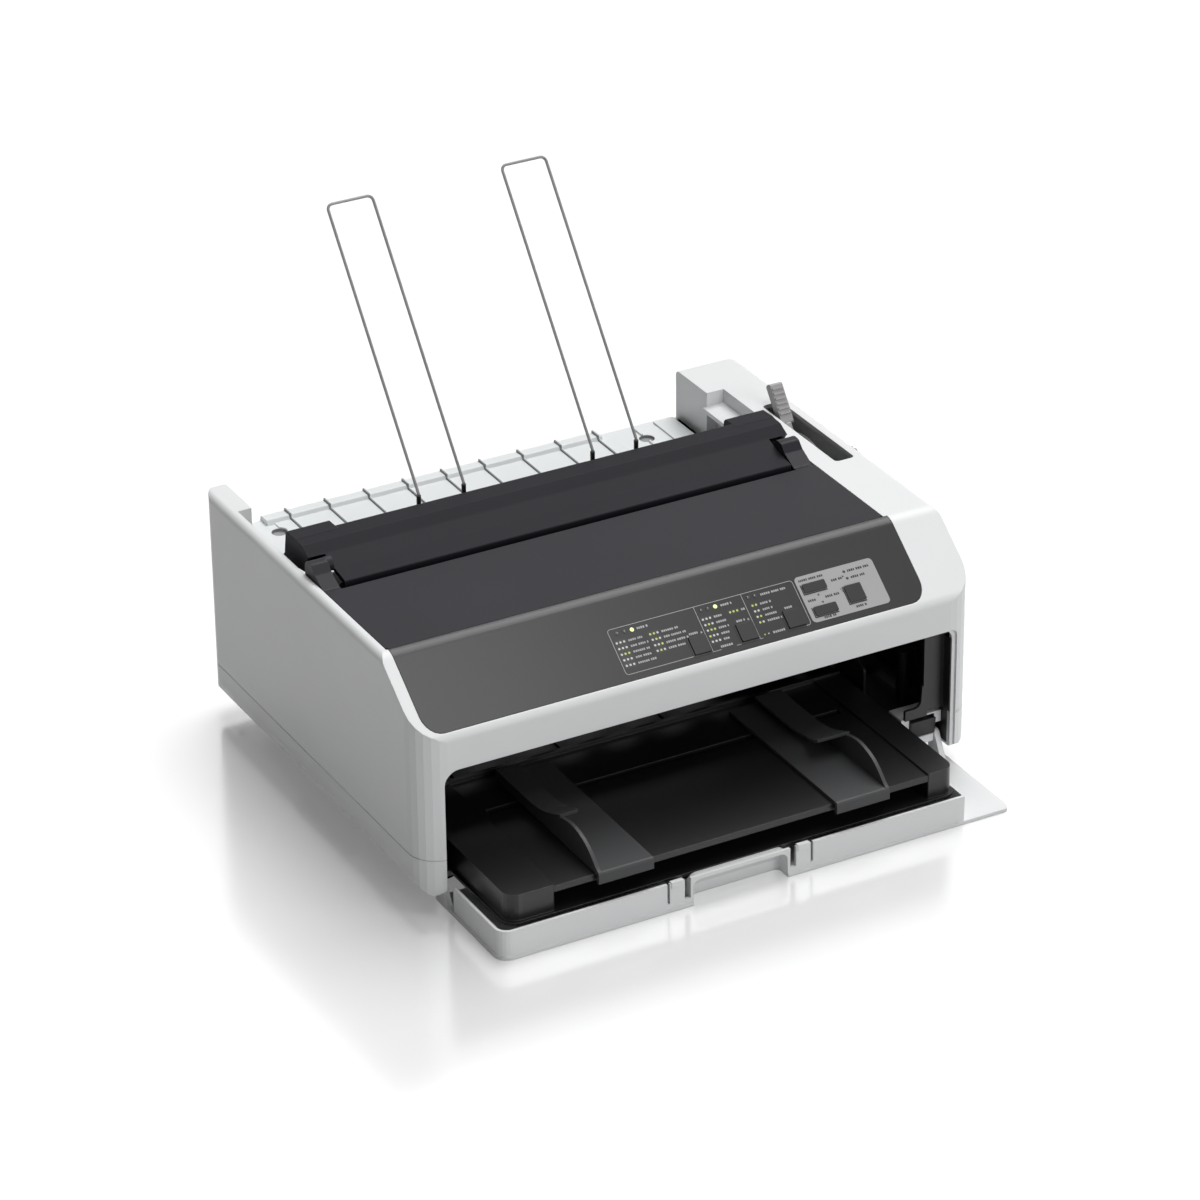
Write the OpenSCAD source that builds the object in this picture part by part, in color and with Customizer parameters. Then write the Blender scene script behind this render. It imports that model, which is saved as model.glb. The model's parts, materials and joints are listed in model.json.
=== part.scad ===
// Desktop impact printer with a fold-down front door, a slide-out sheet tray
// and two wire paper supports. Millimetres, Z up, resting on Z = 0.
// Positions along the depth are written as d, the distance behind the front face.

/* [Case] */
// Width across the side walls
case_w = 414; // [390:1:480]
// Depth from the front face to the rear wall
case_d = 320.5; // [310:0.5:400]
// Height of the top edges above the table
top_z = 168.3; // [166:0.1:190]
// Gap between the table and the case floor
foot_gap = 13; // [10:0.5:16]
// Height of the joint between the lower and upper case
seam_z = 40; // [34:1:50]
// Wall thickness of the case mouldings
wall = 3; // [2.4:0.1:4]
// Plan radius of the front corners
front_r = 20; // [12:1:24]
// Plan radius of the rear corners
rear_r = 15; // [6:1:16]
// Thickness of the visible left wall top
left_band = 7; // [6:0.5:9]
// Width of the flat strip on the right
right_strip = 38.5; // [38:0.5:46]

/* [Control slope] */
// Depth at which the slope meets the flat top
fold_d = 52.5; // [50:0.5:54]
// Slope angle from level
slope_angle = 37.5; // [34:0.5:38]
// Thickness of the control panel
panel_t = 1.8; // [1.4:0.1:2.2]
// Side of a square push button
key_w = 12.4; // [10:0.2:13]
// Push button travel
key_travel = 1.2; // [0.8:0.1:1.2]

/* [Front opening] */
// Left pillar width
pillar_l = 17.6; // [15:0.1:22]
// Right pillar width
pillar_r = 16.9; // [15:0.1:22]
// Height of the top of the opening
opening_top = 103.6; // [100:0.1:106]

/* [Door and tray] */
// Height of the door hinge, and its distance behind the front face
door_pivot = 17; // [16:0.5:19]
// Height of the raised lip round the open door
lip_h = 20.5; // [19.5:0.5:22]
// Tray length, front to back
tray_l = 148; // [120:1:150]
// Distance that the tray stands out of the front face
tray_out = 59.3; // [50:0.1:60]
// Gap between the two edge guide fins
paper_w = 216; // [190:1:216]

/* [Covers] */
// Depth at the rear edge of the printer cover
cover_back_d = 144.5; // [140:0.5:146]
// Height of the top of the sheet guide
guide_top_z = 181.2; // [180:0.1:184]
// Length of a wire support along its lean
wire_l = 204; // [150:1:230]
// Lean of the wire supports from upright
wire_lean = 38; // [30:1:42]
// Radius of the support wire
wire_r = 1; // [0.8:0.1:1.2]

/* [Print works] */
// Radius of the platen roller
platen_r = 14; // [12:0.5:15]
// Depth of the platen axis
platen_d = 175.5; // [175:0.5:176]
// Height of the platen axis
platen_z = 138; // [137:0.5:139]
// Radius of the carriage shaft
shaft_r = 5; // [4:0.5:6]
// Running clearance of a shaft in its bore
run = 0.05; // [0.03:0.01:0.08]
// Gear module
gear_m = 1; // [0.8:0.1:1]

/* [Hidden] */
$fn = 48;

side_x = case_w / 2;
open_x0 = -side_x + pillar_l;
open_x1 = side_x - pillar_r;
door_h = opening_top - 0.3 - door_pivot;
door_reach = door_h - door_pivot;
wire_d = 211;
wire_z = top_z + 17.2;
wire_back = wire_d + wire_l * sin(wire_lean) + wire_r;
knob_out = 12.6;
// The origin is under the middle of the object with the door open
front_y = -(wire_back - door_reach) / 2;
mid_x = -knob_out / 2;

cover_x0 = -side_x + left_band;
cover_x1 = side_x - right_strip;
cover_front_d = fold_d + 4.5;
hinge_d = 169.5;
hinge_z = top_z - 5.3;
post_d = 277;
deck_z = 134.5;
deck_x0 = -side_x + 17;
deck_x1 = side_x - 47;
slope_len = fold_d / cos(slope_angle);
panel_end = slope_len - 4.3;
gap = 0.3;

// Colours
c_case = [0.90, 0.91, 0.92];
c_dark = [0.19, 0.18, 0.21];
c_black = [0.08, 0.08, 0.09];
c_panel = [0.28, 0.28, 0.29];
c_guide = [0.24, 0.24, 0.25];
c_steel = [0.70, 0.71, 0.73];

// ---------- shapes shared by the pieces ----------

// Corner b of the path a-b-c, rounded with radius r
function corner(a, b, c, r, n = 6) =
  let(u = (a - b) / norm(a - b), v = (c - b) / norm(c - b),
      half = acos(u * v) / 2, t = r / tan(half),
      m = b + (u + v) / norm(u + v) * r / sin(half),
      p = b + u * t, q = b + v * t,
      a0 = atan2(p[1] - m[1], p[0] - m[0]), a1 = atan2(q[1] - m[1], q[0] - m[0]),
      turn = a1 - a0 > 180 ? a1 - a0 - 360 : a1 - a0 < -180 ? a1 - a0 + 360 : a1 - a0)
  [for (i = [0:n]) m + r * [cos(a0 + turn * i / n), sin(a0 + turn * i / n)]];

// Closed outline through points [x, y, radius]
function outline(p) = [for (i = [0:len(p) - 1])
  let(a = p[(i + len(p) - 1) % len(p)], b = p[i], c = p[(i + 1) % len(p)])
  each (b[2] > 0 ? corner([a[0], a[1]], [b[0], b[1]], [c[0], c[1]], b[2]) : [[b[0], b[1]]])];

// Block between limits along x, d and z
module block(x0, x1, d0, d1, z0, z1) {
  translate([mid_x + x0, front_y + d0, z0]) cube([x1 - x0, d1 - d0, z1 - z0]);
}
// Flat outline in (d, z) drawn out along x
module along_x(x0, x1) {
  translate([mid_x + x0, front_y, 0]) rotate([90, 0, 90]) linear_extrude(x1 - x0) children();
}
// Flat outline in (x, z) drawn out along d
module along_d(d0, d1) {
  translate([mid_x, front_y + d1, 0]) rotate([90, 0, 0]) linear_extrude(d1 - d0) children();
}
// Flat outline in (x, d) drawn out along z
module along_z(z0, z1) {
  translate([mid_x, front_y, z0]) linear_extrude(z1 - z0) children();
}
module rod_x(x0, x1, d, z, r) {
  translate([mid_x + x0, front_y + d, z]) rotate([0, 90, 0]) cylinder(r = r, h = x1 - x0);
}
module rod_z(x, d, z0, z1, r) {
  translate([mid_x + x, front_y + d, z0]) cylinder(r = r, h = z1 - z0);
}
// Rounded rectangle between limits
module plate2(x0, x1, y0, y1, r) {
  polygon(outline([[x0, y0, r], [x1, y0, r], [x1, y1, r], [x0, y1, r]]));
}
// Local frame on the control slope: x across, y up the slope, z outwards
module on_slope(x, s) {
  translate([mid_x + x, front_y + fold_d - s * cos(slope_angle), top_z - s * sin(slope_angle)])
    rotate([slope_angle, 0, 0]) children();
}

// ---------- case form ----------

// Side view of the case, moved inwards by i
function side_view(i) =
  let(k = tan(slope_angle), z0 = top_z - fold_d * k - i / cos(slope_angle))
  outline([[i, foot_gap + i, max(6 - i, 1)], [i, z0 + i * k, 8],
    [(top_z - i - z0) / k, top_z - i, 14], [case_d - i, top_z - i, 4],
    [case_d - i, foot_gap + i, max(13 - i, 1)]]);

module plan_view(i) {
  x = side_x - i;
  polygon(outline([[-x, i, front_r - i], [x, i, front_r - i],
    [x, case_d - i, rear_r - i], [-x, case_d - i, rear_r - i]]));
}
module front_view(i) {
  x = side_x - i;
  polygon(outline([[-x, foot_gap + i, max(13 - i, 1)], [x, foot_gap + i, max(13 - i, 1)],
    [x, top_z - i, max(5 - i, 1)], [-x, top_z - i, max(5 - i, 1)]]));
}
// Solid case form between two heights, moved inwards by i
module case_form(i, z0, z1) {
  intersection() {
    along_z(z0, z1) plan_view(i);
    along_x(-side_x, side_x) polygon(side_view(i));
    along_d(-1, case_d + 1) front_view(i);
  }
}

foot_x = side_x - 37;
foot_d = [48, case_d - 35];

// Step in the right pillar that takes the edge of the shut door
module door_rebate() {
  along_d(-1, 2.8) polygon(outline([[open_x1 - 1, 0, 0], [skin_x1 + 0.4, 0, 0],
    [skin_x1 + 0.4, opening_top, 5.4], [open_x1 - 12, opening_top, 0]]));
}

module lower_case() {
  color(c_case) difference() {
    union() {
      difference() {
        case_form(0, foot_gap - 1, seam_z);
        difference() {
          case_form(wall, foot_gap - 1, seam_z + 1);
          // pillar feet that hold the door pins
          block(-side_x, open_x0, 0, door_pivot + 10, 0, seam_z + 1);
          block(open_x1, side_x, 0, door_pivot + 10, 0, seam_z + 1);
        }
      }
      // hollow blocks behind the finger grips
      intersection() {
        case_form(0, foot_gap - 1, seam_z);
        for (x = [-side_x, side_x - 17]) block(x, x + 17, 113, 202, foot_gap, foot_gap + 9);
      }
      // runners under the sheet tray
      for (x = [-120, -40, 40, 120]) block(x - 1, x + 1, 30, 246, foot_gap + 1, tray_z0 - gap);
      // foot bosses
      for (x = [-foot_x, foot_x], d = foot_d) rod_z(x, d, 3, foot_gap + 1, 12);
      // screw towers
      for (x = [-side_x + 12, side_x - 12], d = [70, case_d - 22])
        rod_z(x, d, foot_gap + 3.5, seam_z, 5);
    }
    // shadow groove along the joint with the upper case
    difference() {
      block(-side_x - 1, side_x + 1, -1, case_d + 1, seam_z - 0.6, seam_z + 1);
      case_form(0.6, seam_z - 1, seam_z + 2);
    }
    // front opening, down to the table
    block(open_x0, open_x1, -1, door_pivot + 8, 0, seam_z + 1);
    door_rebate();
    // door pin holes
    rod_x(open_x0 - 8, open_x0 + 1, door_pivot, door_pivot, 2.5);
    rod_x(open_x1 - 1, open_x1 + 8, door_pivot, door_pivot, 2.5);
    // finger grips under the sides
    for (x = [-side_x - 1, side_x - 13])
      along_x(x, x + 14) plate2(116, 199, foot_gap - 20, foot_gap + 6, 5);
    // screw holes from below
    for (x = [-side_x + 12, side_x - 12], d = [70, case_d - 22])
      rod_z(x, d, foot_gap - 2, seam_z - 8, 3.4);
    for (x = [-side_x + 12, side_x - 12], d = [70, case_d - 22])
      rod_z(x, d, seam_z - 9, seam_z + 1, 1.8);
  }
}

module upper_case() {
  slot_x0 = side_x - 24;
  slot_x1 = side_x - 9;
  recess_x = side_x - 33.5;
  recess_d = 231;
  color(c_case) difference() {
    union() {
      difference() {
        case_form(0, seam_z, top_z + 1);
        case_form(wall, seam_z - 1, top_z + 1);
      }
      intersection() {
        case_form(0, seam_z, top_z + 1);
        union() {
          // thick top of the left wall
          block(-side_x, cover_x0, fold_d, post_d + 1, top_z - 22, top_z);
          // wall down the inner edge of the right strip
          block(cover_x1, cover_x1 + wall, fold_d - 10, post_d + 1, top_z - 40, top_z - 1);
          // rear left post and rear right block
          block(deck_x0 - wall, deck_x0, post_d, case_d, deck_z - wall, top_z - 1);
          block(-side_x, deck_x0, post_d, post_d + wall, deck_z - wall, top_z - 1);
          block(deck_x1, deck_x1 + wall, post_d, case_d, deck_z - wall, top_z - 1);
          block(deck_x1, side_x, post_d, post_d + wall, deck_z - wall, top_z - 1);
          // recess that steps down beside the rear block
          block(deck_x1 - 3.7, deck_x1 + 1, post_d, case_d, top_z - 13, top_z - 10);
          block(deck_x1 - 3.7, recess_x + wall, recess_d, post_d + 1, top_z - 13, top_z - 10);
          block(recess_x, recess_x + wall, recess_d, post_d + 1, top_z - 13, top_z - 1);
          block(cover_x1, recess_x + wall, recess_d - wall, recess_d, top_z - 13, top_z - 1);
          // second skin under the control slope
          difference() {
            block(-side_x, side_x, 0, cover_front_d - 2, opening_top, top_z);
            case_form(wall + 1.5, 0, top_z);
          }
          // pillar backs
          block(-side_x, open_x0, 0, 6, seam_z, opening_top + 4);
          block(open_x1, side_x, 0, 6, seam_z, opening_top + 4);
        }
      }
      // screw towers, webbed to the side walls
      for (x = [-side_x + 12, side_x - 12], d = [70, case_d - 22]) {
        rod_z(x, d, seam_z, seam_z + 14, 5);
        block(x < 0 ? -side_x + 1 : x, x < 0 ? x : side_x - 1, d - 1.5, d + 1.5, seam_z, seam_z + 14);
      }
    }
    // bay under the cover and the sheet guide
    block(cover_x0, cover_x1, cover_front_d - 0.2, recess_d, top_z - 16, top_z + 2);
    block(cover_x0, deck_x1 - 3.7, recess_d - 1, post_d, top_z - 16, top_z + 2);
    block(deck_x1 - 4, recess_x, recess_d, post_d, top_z - 10, top_z + 2);
    // bay over the rear deck
    block(deck_x0, deck_x1, post_d - 1, case_d + 1, deck_z - wall, top_z - 13);
    block(deck_x0, deck_x1, post_d - 1, case_d + 1, top_z - 14, top_z + 2);
    // front opening with rounded upper corners
    along_d(-1, wall + 4)
      polygon(outline([[open_x0, 20, 0], [open_x1, 20, 0],
        [open_x1, opening_top, 8], [open_x0, opening_top, 10]]));
    door_rebate();
    // recess of the control panel
    intersection() {
      panel_outline(gap);
      difference() {
        along_x(-side_x, side_x) polygon(side_view(-2));
        along_x(-side_x, side_x) polygon(side_view(panel_t + 0.1));
      }
    }
    // button wells
    for (k = keys) on_slope(k[0], k[1])
      translate([-k[2] / 2 - gap, -k[3] / 2 - gap, -8]) cube([k[2] + 2 * gap, k[3] + 2 * gap, 12]);
    // slot of the release lever
    along_z(top_z - wall - 1, top_z + 1) plate2(slot_x0, slot_x1, 141.5, 240.5, 3);
    // shaft hole of the platen knob
    rod_x(cover_x1 - 1, side_x + 1, platen_d, platen_z, 6);
    // rear sockets
    block(inlet_x - 14, inlet_x + 14, case_d - wall - 1, case_d + 1, 47, 69);
    block(-150, -64, case_d - wall - 1, case_d + 1, 47, 69);
    // rear cooling slots
    for (i = [0:11]) block(10 + i * 7, 13 + i * 7, case_d - wall - 1, case_d + 1, 78, 112);
    // hinge pin holes of the cover and the sheet guide
    rod_x(cover_x0 - 5, cover_x0 + 1, hinge_d, hinge_z, 2);
    rod_x(cover_x1 - 1, cover_x1 + wall, hinge_d, hinge_z, 2);
    rod_x(cover_x0 - 5, cover_x0 + 1, tilt_d, tilt_z, 2.5);
    rod_x(cover_x1 - 1, cover_x1 + wall, tilt_d, tilt_z, 2.5);
    for (x = [-side_x + 12, side_x - 12], d = [70, case_d - 22])
      rod_z(x, d, seam_z - 1, seam_z + 10, 1.5);
  }
}

// ---------- control panel ----------

// Each key: x, distance down the slope, width, height
keys = [[3.1, 50.6, key_w, key_w], [38.4, 50.4, key_w, key_w], [73.8, 50.2, key_w, key_w],
  [97.2, 32.6, 17, 6.4], [98, 49.9, 17, 6.4], [122.8, 44.3, key_w, key_w]];
// Small round lamps: x, distance down the slope
lamps = [[-48.2, 27.9], [-42.7, 27.9], [-37.5, 27.9], [14.3, 28], [19.2, 28], [24.6, 28],
  [49.5, 28], [54.5, 28], [122, 28], [122.3, 33]];

panel_x0 = cover_x0 + 1.5;
panel_x1 = cover_x1 + 2.5;

// Plan of the panel, grown by g
module panel_outline(g) {
  along_z(100, top_z + 5) polygon(outline([
    [panel_x0 - g, fold_d - panel_end * cos(slope_angle) - g, 12],
    [panel_x1 + g, fold_d - panel_end * cos(slope_angle) - g, 12],
    [panel_x1 + g, cover_front_d - 0.2, 0], [panel_x0 - g, cover_front_d - 0.2, 0]]));
}

module control_panel() {
  color(c_panel) difference() {
    intersection() {
      panel_outline(0);
      along_x(-side_x, side_x) difference() {
        polygon(side_view(0));
        polygon(side_view(panel_t));
      }
    }
    for (k = keys) on_slope(k[0], k[1])
      translate([-k[2] / 2 - gap, -k[3] / 2 - gap, -4]) cube([k[2] + 2 * gap, k[3] + 2 * gap, 8]);
    for (p = lamps) on_slope(p[0], p[1]) translate([0, 0, -1]) cylinder(r = 1.3, h = 3);
  }
}

module key(i) {
  k = keys[i];
  color(c_panel) on_slope(k[0], k[1]) {
    linear_extrude(1.2) plate2(-k[2] / 2, k[2] / 2, -k[3] / 2, k[3] / 2, 0.8);
    translate([0, 0, -6.3]) linear_extrude(6.3)
      plate2(-k[2] / 2, k[2] / 2, -k[3] / 2, k[3] / 2, 0.8);
    // flange that keeps the key in its well
    translate([0, 0, -7.3]) linear_extrude(1.5)
      plate2(-k[2] / 2 - 1, k[2] / 2 + 1, -k[3] / 2 - 1, k[3] / 2 + 1, 0.8);
  }
}
module font_button() { key(0); }
module pitch_button() { key(1); }
module tear_off_button() { key(2); }
module load_eject_button() { key(3); }
module line_feed_button() { key(4); }
module pause_button() { key(5); }

module indicator_lights() {
  color([0.55, 0.85, 0.25]) for (p = lamps)
    on_slope(p[0], p[1]) translate([0, 0, -1]) cylinder(r = 1.25, h = 1.15);
}

module panel_board() {
  color([0.10, 0.35, 0.20]) on_slope(40, 41) {
    translate([-100, -16, -11]) cube([200, 34, 1.6]);
    for (i = [0:5]) translate([keys[i][0] - 43, 38 - keys[i][1], -9.4])
      cube([6, 6, 2.05 - key_travel]);
  }
}

// ---------- printer cover ----------

module printer_cover() {
  x0 = cover_x0 + 0.5;
  x1 = cover_x1 - 0.5;
  color(c_dark) difference() {
    union() {
      difference() {
        along_z(top_z - 9, top_z) polygon(outline([[x0, cover_front_d + gap, 3],
          [x1, cover_front_d + gap, 3], [x1, cover_back_d, 0], [x0, cover_back_d, 0]]));
        along_z(top_z - 10, top_z - 2.5) polygon(outline([
          [x0 + 2.5, cover_front_d + gap + 2.5, 1], [x1 - 2.5, cover_front_d + gap + 2.5, 1],
          [x1 - 2.5, cover_back_d - 2.5, 0], [x0 + 2.5, cover_back_d - 2.5, 0]]));
      }
      // humped arms that reach back to the hinge
      for (s = [[x0, x0 + 12], [x1 - 14, x1]]) along_x(s[0], s[1])
        polygon(outline([[cover_back_d - 6, top_z - 9, 0], [hinge_d - 3, hinge_z - 6, 3],
          [hinge_d + 5.5, hinge_z - 5, 5], [hinge_d + 5.5, top_z + 11, 5],
          [hinge_d - 4, top_z + 10.4, 4], [hinge_d - 9, top_z + 5.2, 4],
          [cover_back_d + 3.5, top_z - 0.9, 4], [cover_back_d - 1, top_z, 0],
          [cover_back_d - 6, top_z, 0]]));
      rod_x(x0 + 11, x0 + 16.5, hinge_d + 0.5, top_z + 5.9, 5);
      // three shallow ribs under the plate
      for (t = [0.25, 0.5, 0.75]) block(x0 + (x1 - x0) * t - 1, x0 + (x1 - x0) * t + 1,
        cover_front_d + 2, cover_back_d - 2, top_z - 5, top_z - 2);
    }
    rod_x(x0 - 1, x1 + 1, hinge_d, hinge_z, 2 + run);
  }
}

module cover_hinge_pins() {
  color(c_steel) {
    rod_x(cover_x0 - 4, cover_x0 + 12, hinge_d, hinge_z, 2);
    rod_x(cover_x1 - 12, cover_x1 + wall - 0.2, hinge_d, hinge_z, 2);
  }
}

// ---------- tilting sheet guide with its wires ----------

tilt_d = 219;
tilt_z = top_z - 14;
guide_x0 = cover_x0 + 6;
guide_x1 = cover_x1 - 0.5;
step_x0 = guide_x0 + 31;
step_x1 = guide_x1 - 30;

// Outer skin profile of the sheet guide up to the depth where its top ends
module guide_skin(back) {
  skin = 3;
  polygon(outline([[151, top_z - 8, 1], [154, top_z - 8, 1], [154.6, top_z - 2.2, 2],
    [168, top_z + 0.5, 14], [182, top_z + 5.2, 10], [190.6, guide_top_z - skin - 0.9, 3],
    [back - 3, guide_top_z - skin, 3], [back + 2, top_z - 6, 2], [back + 2, top_z - 12, 1],
    [back + 5.5, top_z - 12, 1], [back + 5.5, top_z - 5, 3], [back, guide_top_z, 4],
    [190, guide_top_z - 0.8, 0.8], [181, top_z + 7.6, 12], [167, top_z + 3.4, 14],
    [151, top_z + 1, 1]]));
}

module sheet_guide() {
  color(c_dark) difference() {
    union() {
      // middle stretch and the two longer ends
      along_x(guide_x0, guide_x1) guide_skin(206);
      for (s = [[guide_x0, step_x0], [step_x1, guide_x1]]) along_x(s[0], s[1]) {
        polygon([[200, guide_top_z - 3], [200, guide_top_z], [213, guide_top_z - 0.5],
          [215, guide_top_z - 2.5], [217.5, top_z - 4], [217.5, top_z - 10],
          [214.5, top_z - 10], [212.5, guide_top_z - 4]]);
      }
      // end cheeks with the pivot eyes
      for (x = [guide_x0, guide_x1 - 3]) along_x(x, x + 3) union() {
        polygon([[153, top_z - 7], [155, top_z], [170, top_z + 2], [182, top_z + 7],
          [190, guide_top_z - 2], [212, guide_top_z - 1], [216.5, top_z - 4],
          [tilt_d + 5, tilt_z + 2], [tilt_d + 2, tilt_z - 5], [tilt_d - 5, tilt_z - 3],
          [200, top_z - 8], [176, top_z - 4]]);
        translate([tilt_d, tilt_z]) circle(r = 6);
      }
      // steps between the middle and the ends
      for (x = [step_x0 - 3, step_x1]) along_x(x, x + 3)
        polygon([[200, guide_top_z - 3], [200, guide_top_z], [213, guide_top_z - 0.5],
          [216, top_z - 4], [209, top_z - 5]]);
      // stiffening ribs
      for (i = [1:6]) along_x(guide_x0 + i * 52, guide_x0 + i * 52 + 2)
        polygon([[172, top_z + 1.5], [189, guide_top_z - 2.5], [203, guide_top_z - 2],
          [207, top_z - 4], [186, top_z + 1]]);
      // blocks that carry the wire sleeves
      for (x = wire_x) block(x - 4.5, x + 4.5, 204, wire_d - 2.4, top_z - 10, top_z + 6);
    }
    // room for the cover arms
    for (s = [[guide_x0 - 1, cover_x0 + 17.8], [cover_x1 - 15.2, guide_x1 + 1]]) {
      block(s[0], s[1], 150, hinge_d, top_z - 16, guide_top_z + 2);
      rod_x(s[0], s[1], hinge_d, hinge_z, 17);
    }
    for (x = wire_x) block(x - 2, x + 2, wire_d - 2.4, wire_d + 5, top_z - 10, wire_z);
    rod_x(guide_x0 - 1, guide_x1 + 1, tilt_d, tilt_z, 2.5 + run);
  }
}

module guide_hinge_pins() {
  color(c_steel) {
    rod_x(cover_x0 - 4, guide_x0 + 3, tilt_d, tilt_z, 2.5);
    rod_x(guide_x1 - 3, cover_x1 + wall - 0.2, tilt_d, tilt_z, 2.5);
  }
}

wire_gap = 33.6;
wire_x = [-98, -98 + wire_gap, 33.4, 33.4 + wire_gap];
sleeve_r = 1.6;

module wire_sleeves() {
  color(c_black) for (x = wire_x) difference() {
    union() {
      rod_z(x, wire_d, top_z - 10, wire_z - 2, sleeve_r);
      block(x - 2, x + 2, wire_d - 2.4, wire_d, top_z - 9, top_z + 5);
    }
    rod_z(x, wire_d, top_z - 8, wire_z, wire_r + run);
  }
}

// One bent wire loop standing in its two sleeves
module wire_support(x) {
  lean = [0, sin(wire_lean), cos(wire_lean)];
  bend = 4;
  color(c_steel) {
    for (s = [0, wire_gap]) {
      rod_z(x + s, wire_d, top_z - 7, wire_z - 1, wire_r);
      translate([mid_x + x + s, front_y + wire_d, wire_z - 1]) sphere(r = wire_r, $fn = 24);
      translate([mid_x + x + s, front_y + wire_d, wire_z - 1]) rotate([-wire_lean, 0, 0])
        cylinder(r = wire_r, h = wire_l - bend);
    }
    translate([mid_x + x, front_y + wire_d, wire_z - 1]) rotate([-wire_lean, 0, 0])
      translate([0, 0, wire_l - bend]) {
        translate([bend, 0, 0]) rotate([90, 0, 180]) rotate_extrude(angle = 90)
          translate([bend, 0]) circle(r = wire_r, $fn = 24);
        translate([wire_gap - bend, 0, 0]) rotate([90, 0, 0]) rotate_extrude(angle = 90)
          translate([bend, 0]) circle(r = wire_r, $fn = 24);
        translate([bend, 0, bend]) rotate([0, 90, 0])
          cylinder(r = wire_r, h = wire_gap - 2 * bend);
      }
  }
}
module left_wire_support() { wire_support(wire_x[0]); }
module right_wire_support() { wire_support(wire_x[2]); }

// ---------- rear paper guide ----------

module rear_paper_guide() {
  x0 = deck_x0 + 0.4;
  x1 = deck_x1 - 5;
  rib_pitch = 29.75;
  lip_d = case_d - wall - gap;
  color(c_case) difference() {
    union() {
      // deck with a rolled rear lip
      along_x(x0, x1) polygon(outline([[228, deck_z - wall, 0],
        [lip_d - 2.4, deck_z - wall, 1], [lip_d - 2.4, deck_z - 9, 0], [lip_d, deck_z - 9, 0],
        [lip_d, deck_z - wall, 0], [case_d - 1, deck_z - wall, 0], [case_d - 1, deck_z, 3],
        [226, deck_z, 1], [226, deck_z - 14, 0], [228, deck_z - 14, 0]]));
      // raised lip along the rear edge, with the ribs carried over it
      along_x(deck_x0 + 25, deck_x1 - 66) polygon(outline([[306.5, deck_z - 1, 0],
        [309.5, deck_z + 3.4, 1.2], [case_d - 2, deck_z + 3, 1.5], [case_d - 1, deck_z - 1, 0]]));
      for (i = [0:8]) block(x0 + 42 + i * rib_pitch, x0 + 43.4 + i * rib_pitch,
        308.5, case_d - 2.5, deck_z + 2, deck_z + 4.5);
      // raised strip behind the paper path
      block(x0 + 30, x1 - 52, 229, case_d - 12, deck_z - 1, deck_z + 0.8);
      // fine ribs that carry the paper
      for (i = [0:8]) block(x0 + 42 + i * rib_pitch, x0 + 43.4 + i * rib_pitch,
        227, case_d - 3, deck_z - 1, deck_z + 1.8);
      for (i = [0:1]) block(x1 - 34 + i * 17, x1 - 32.6 + i * 17,
        227, case_d - 6, deck_z - 1, deck_z + 1.2);
    }
    // two round thumb holes
    for (x = [deck_x0 + 28.2, deck_x1 - 37.6]) rod_z(x, case_d - 25, deck_z - 2, deck_z + 3, 5.5);
    // clearance round the left post and under the sheet guide pivot
    block(deck_x1 - 9, deck_x1 + 1, 225, 240, deck_z - 20, deck_z + 5);
  }
}

// ---------- front door ----------

door_x0 = open_x0 + 1;
door_x1 = open_x1 - 1.5;
skin_x1 = open_x1 + 2.4;
box_x1 = door_x1 - 30.2;
box_x0 = door_x0 + 0.8;
door_front = -door_reach;
handle_x0 = -48;
handle_x1 = 22;
eye_w = 4;

// Tongues beside the handle: slot and tongue edges, measured outwards
latch = [2, 6.4, 17.3, 19.1];

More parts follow.
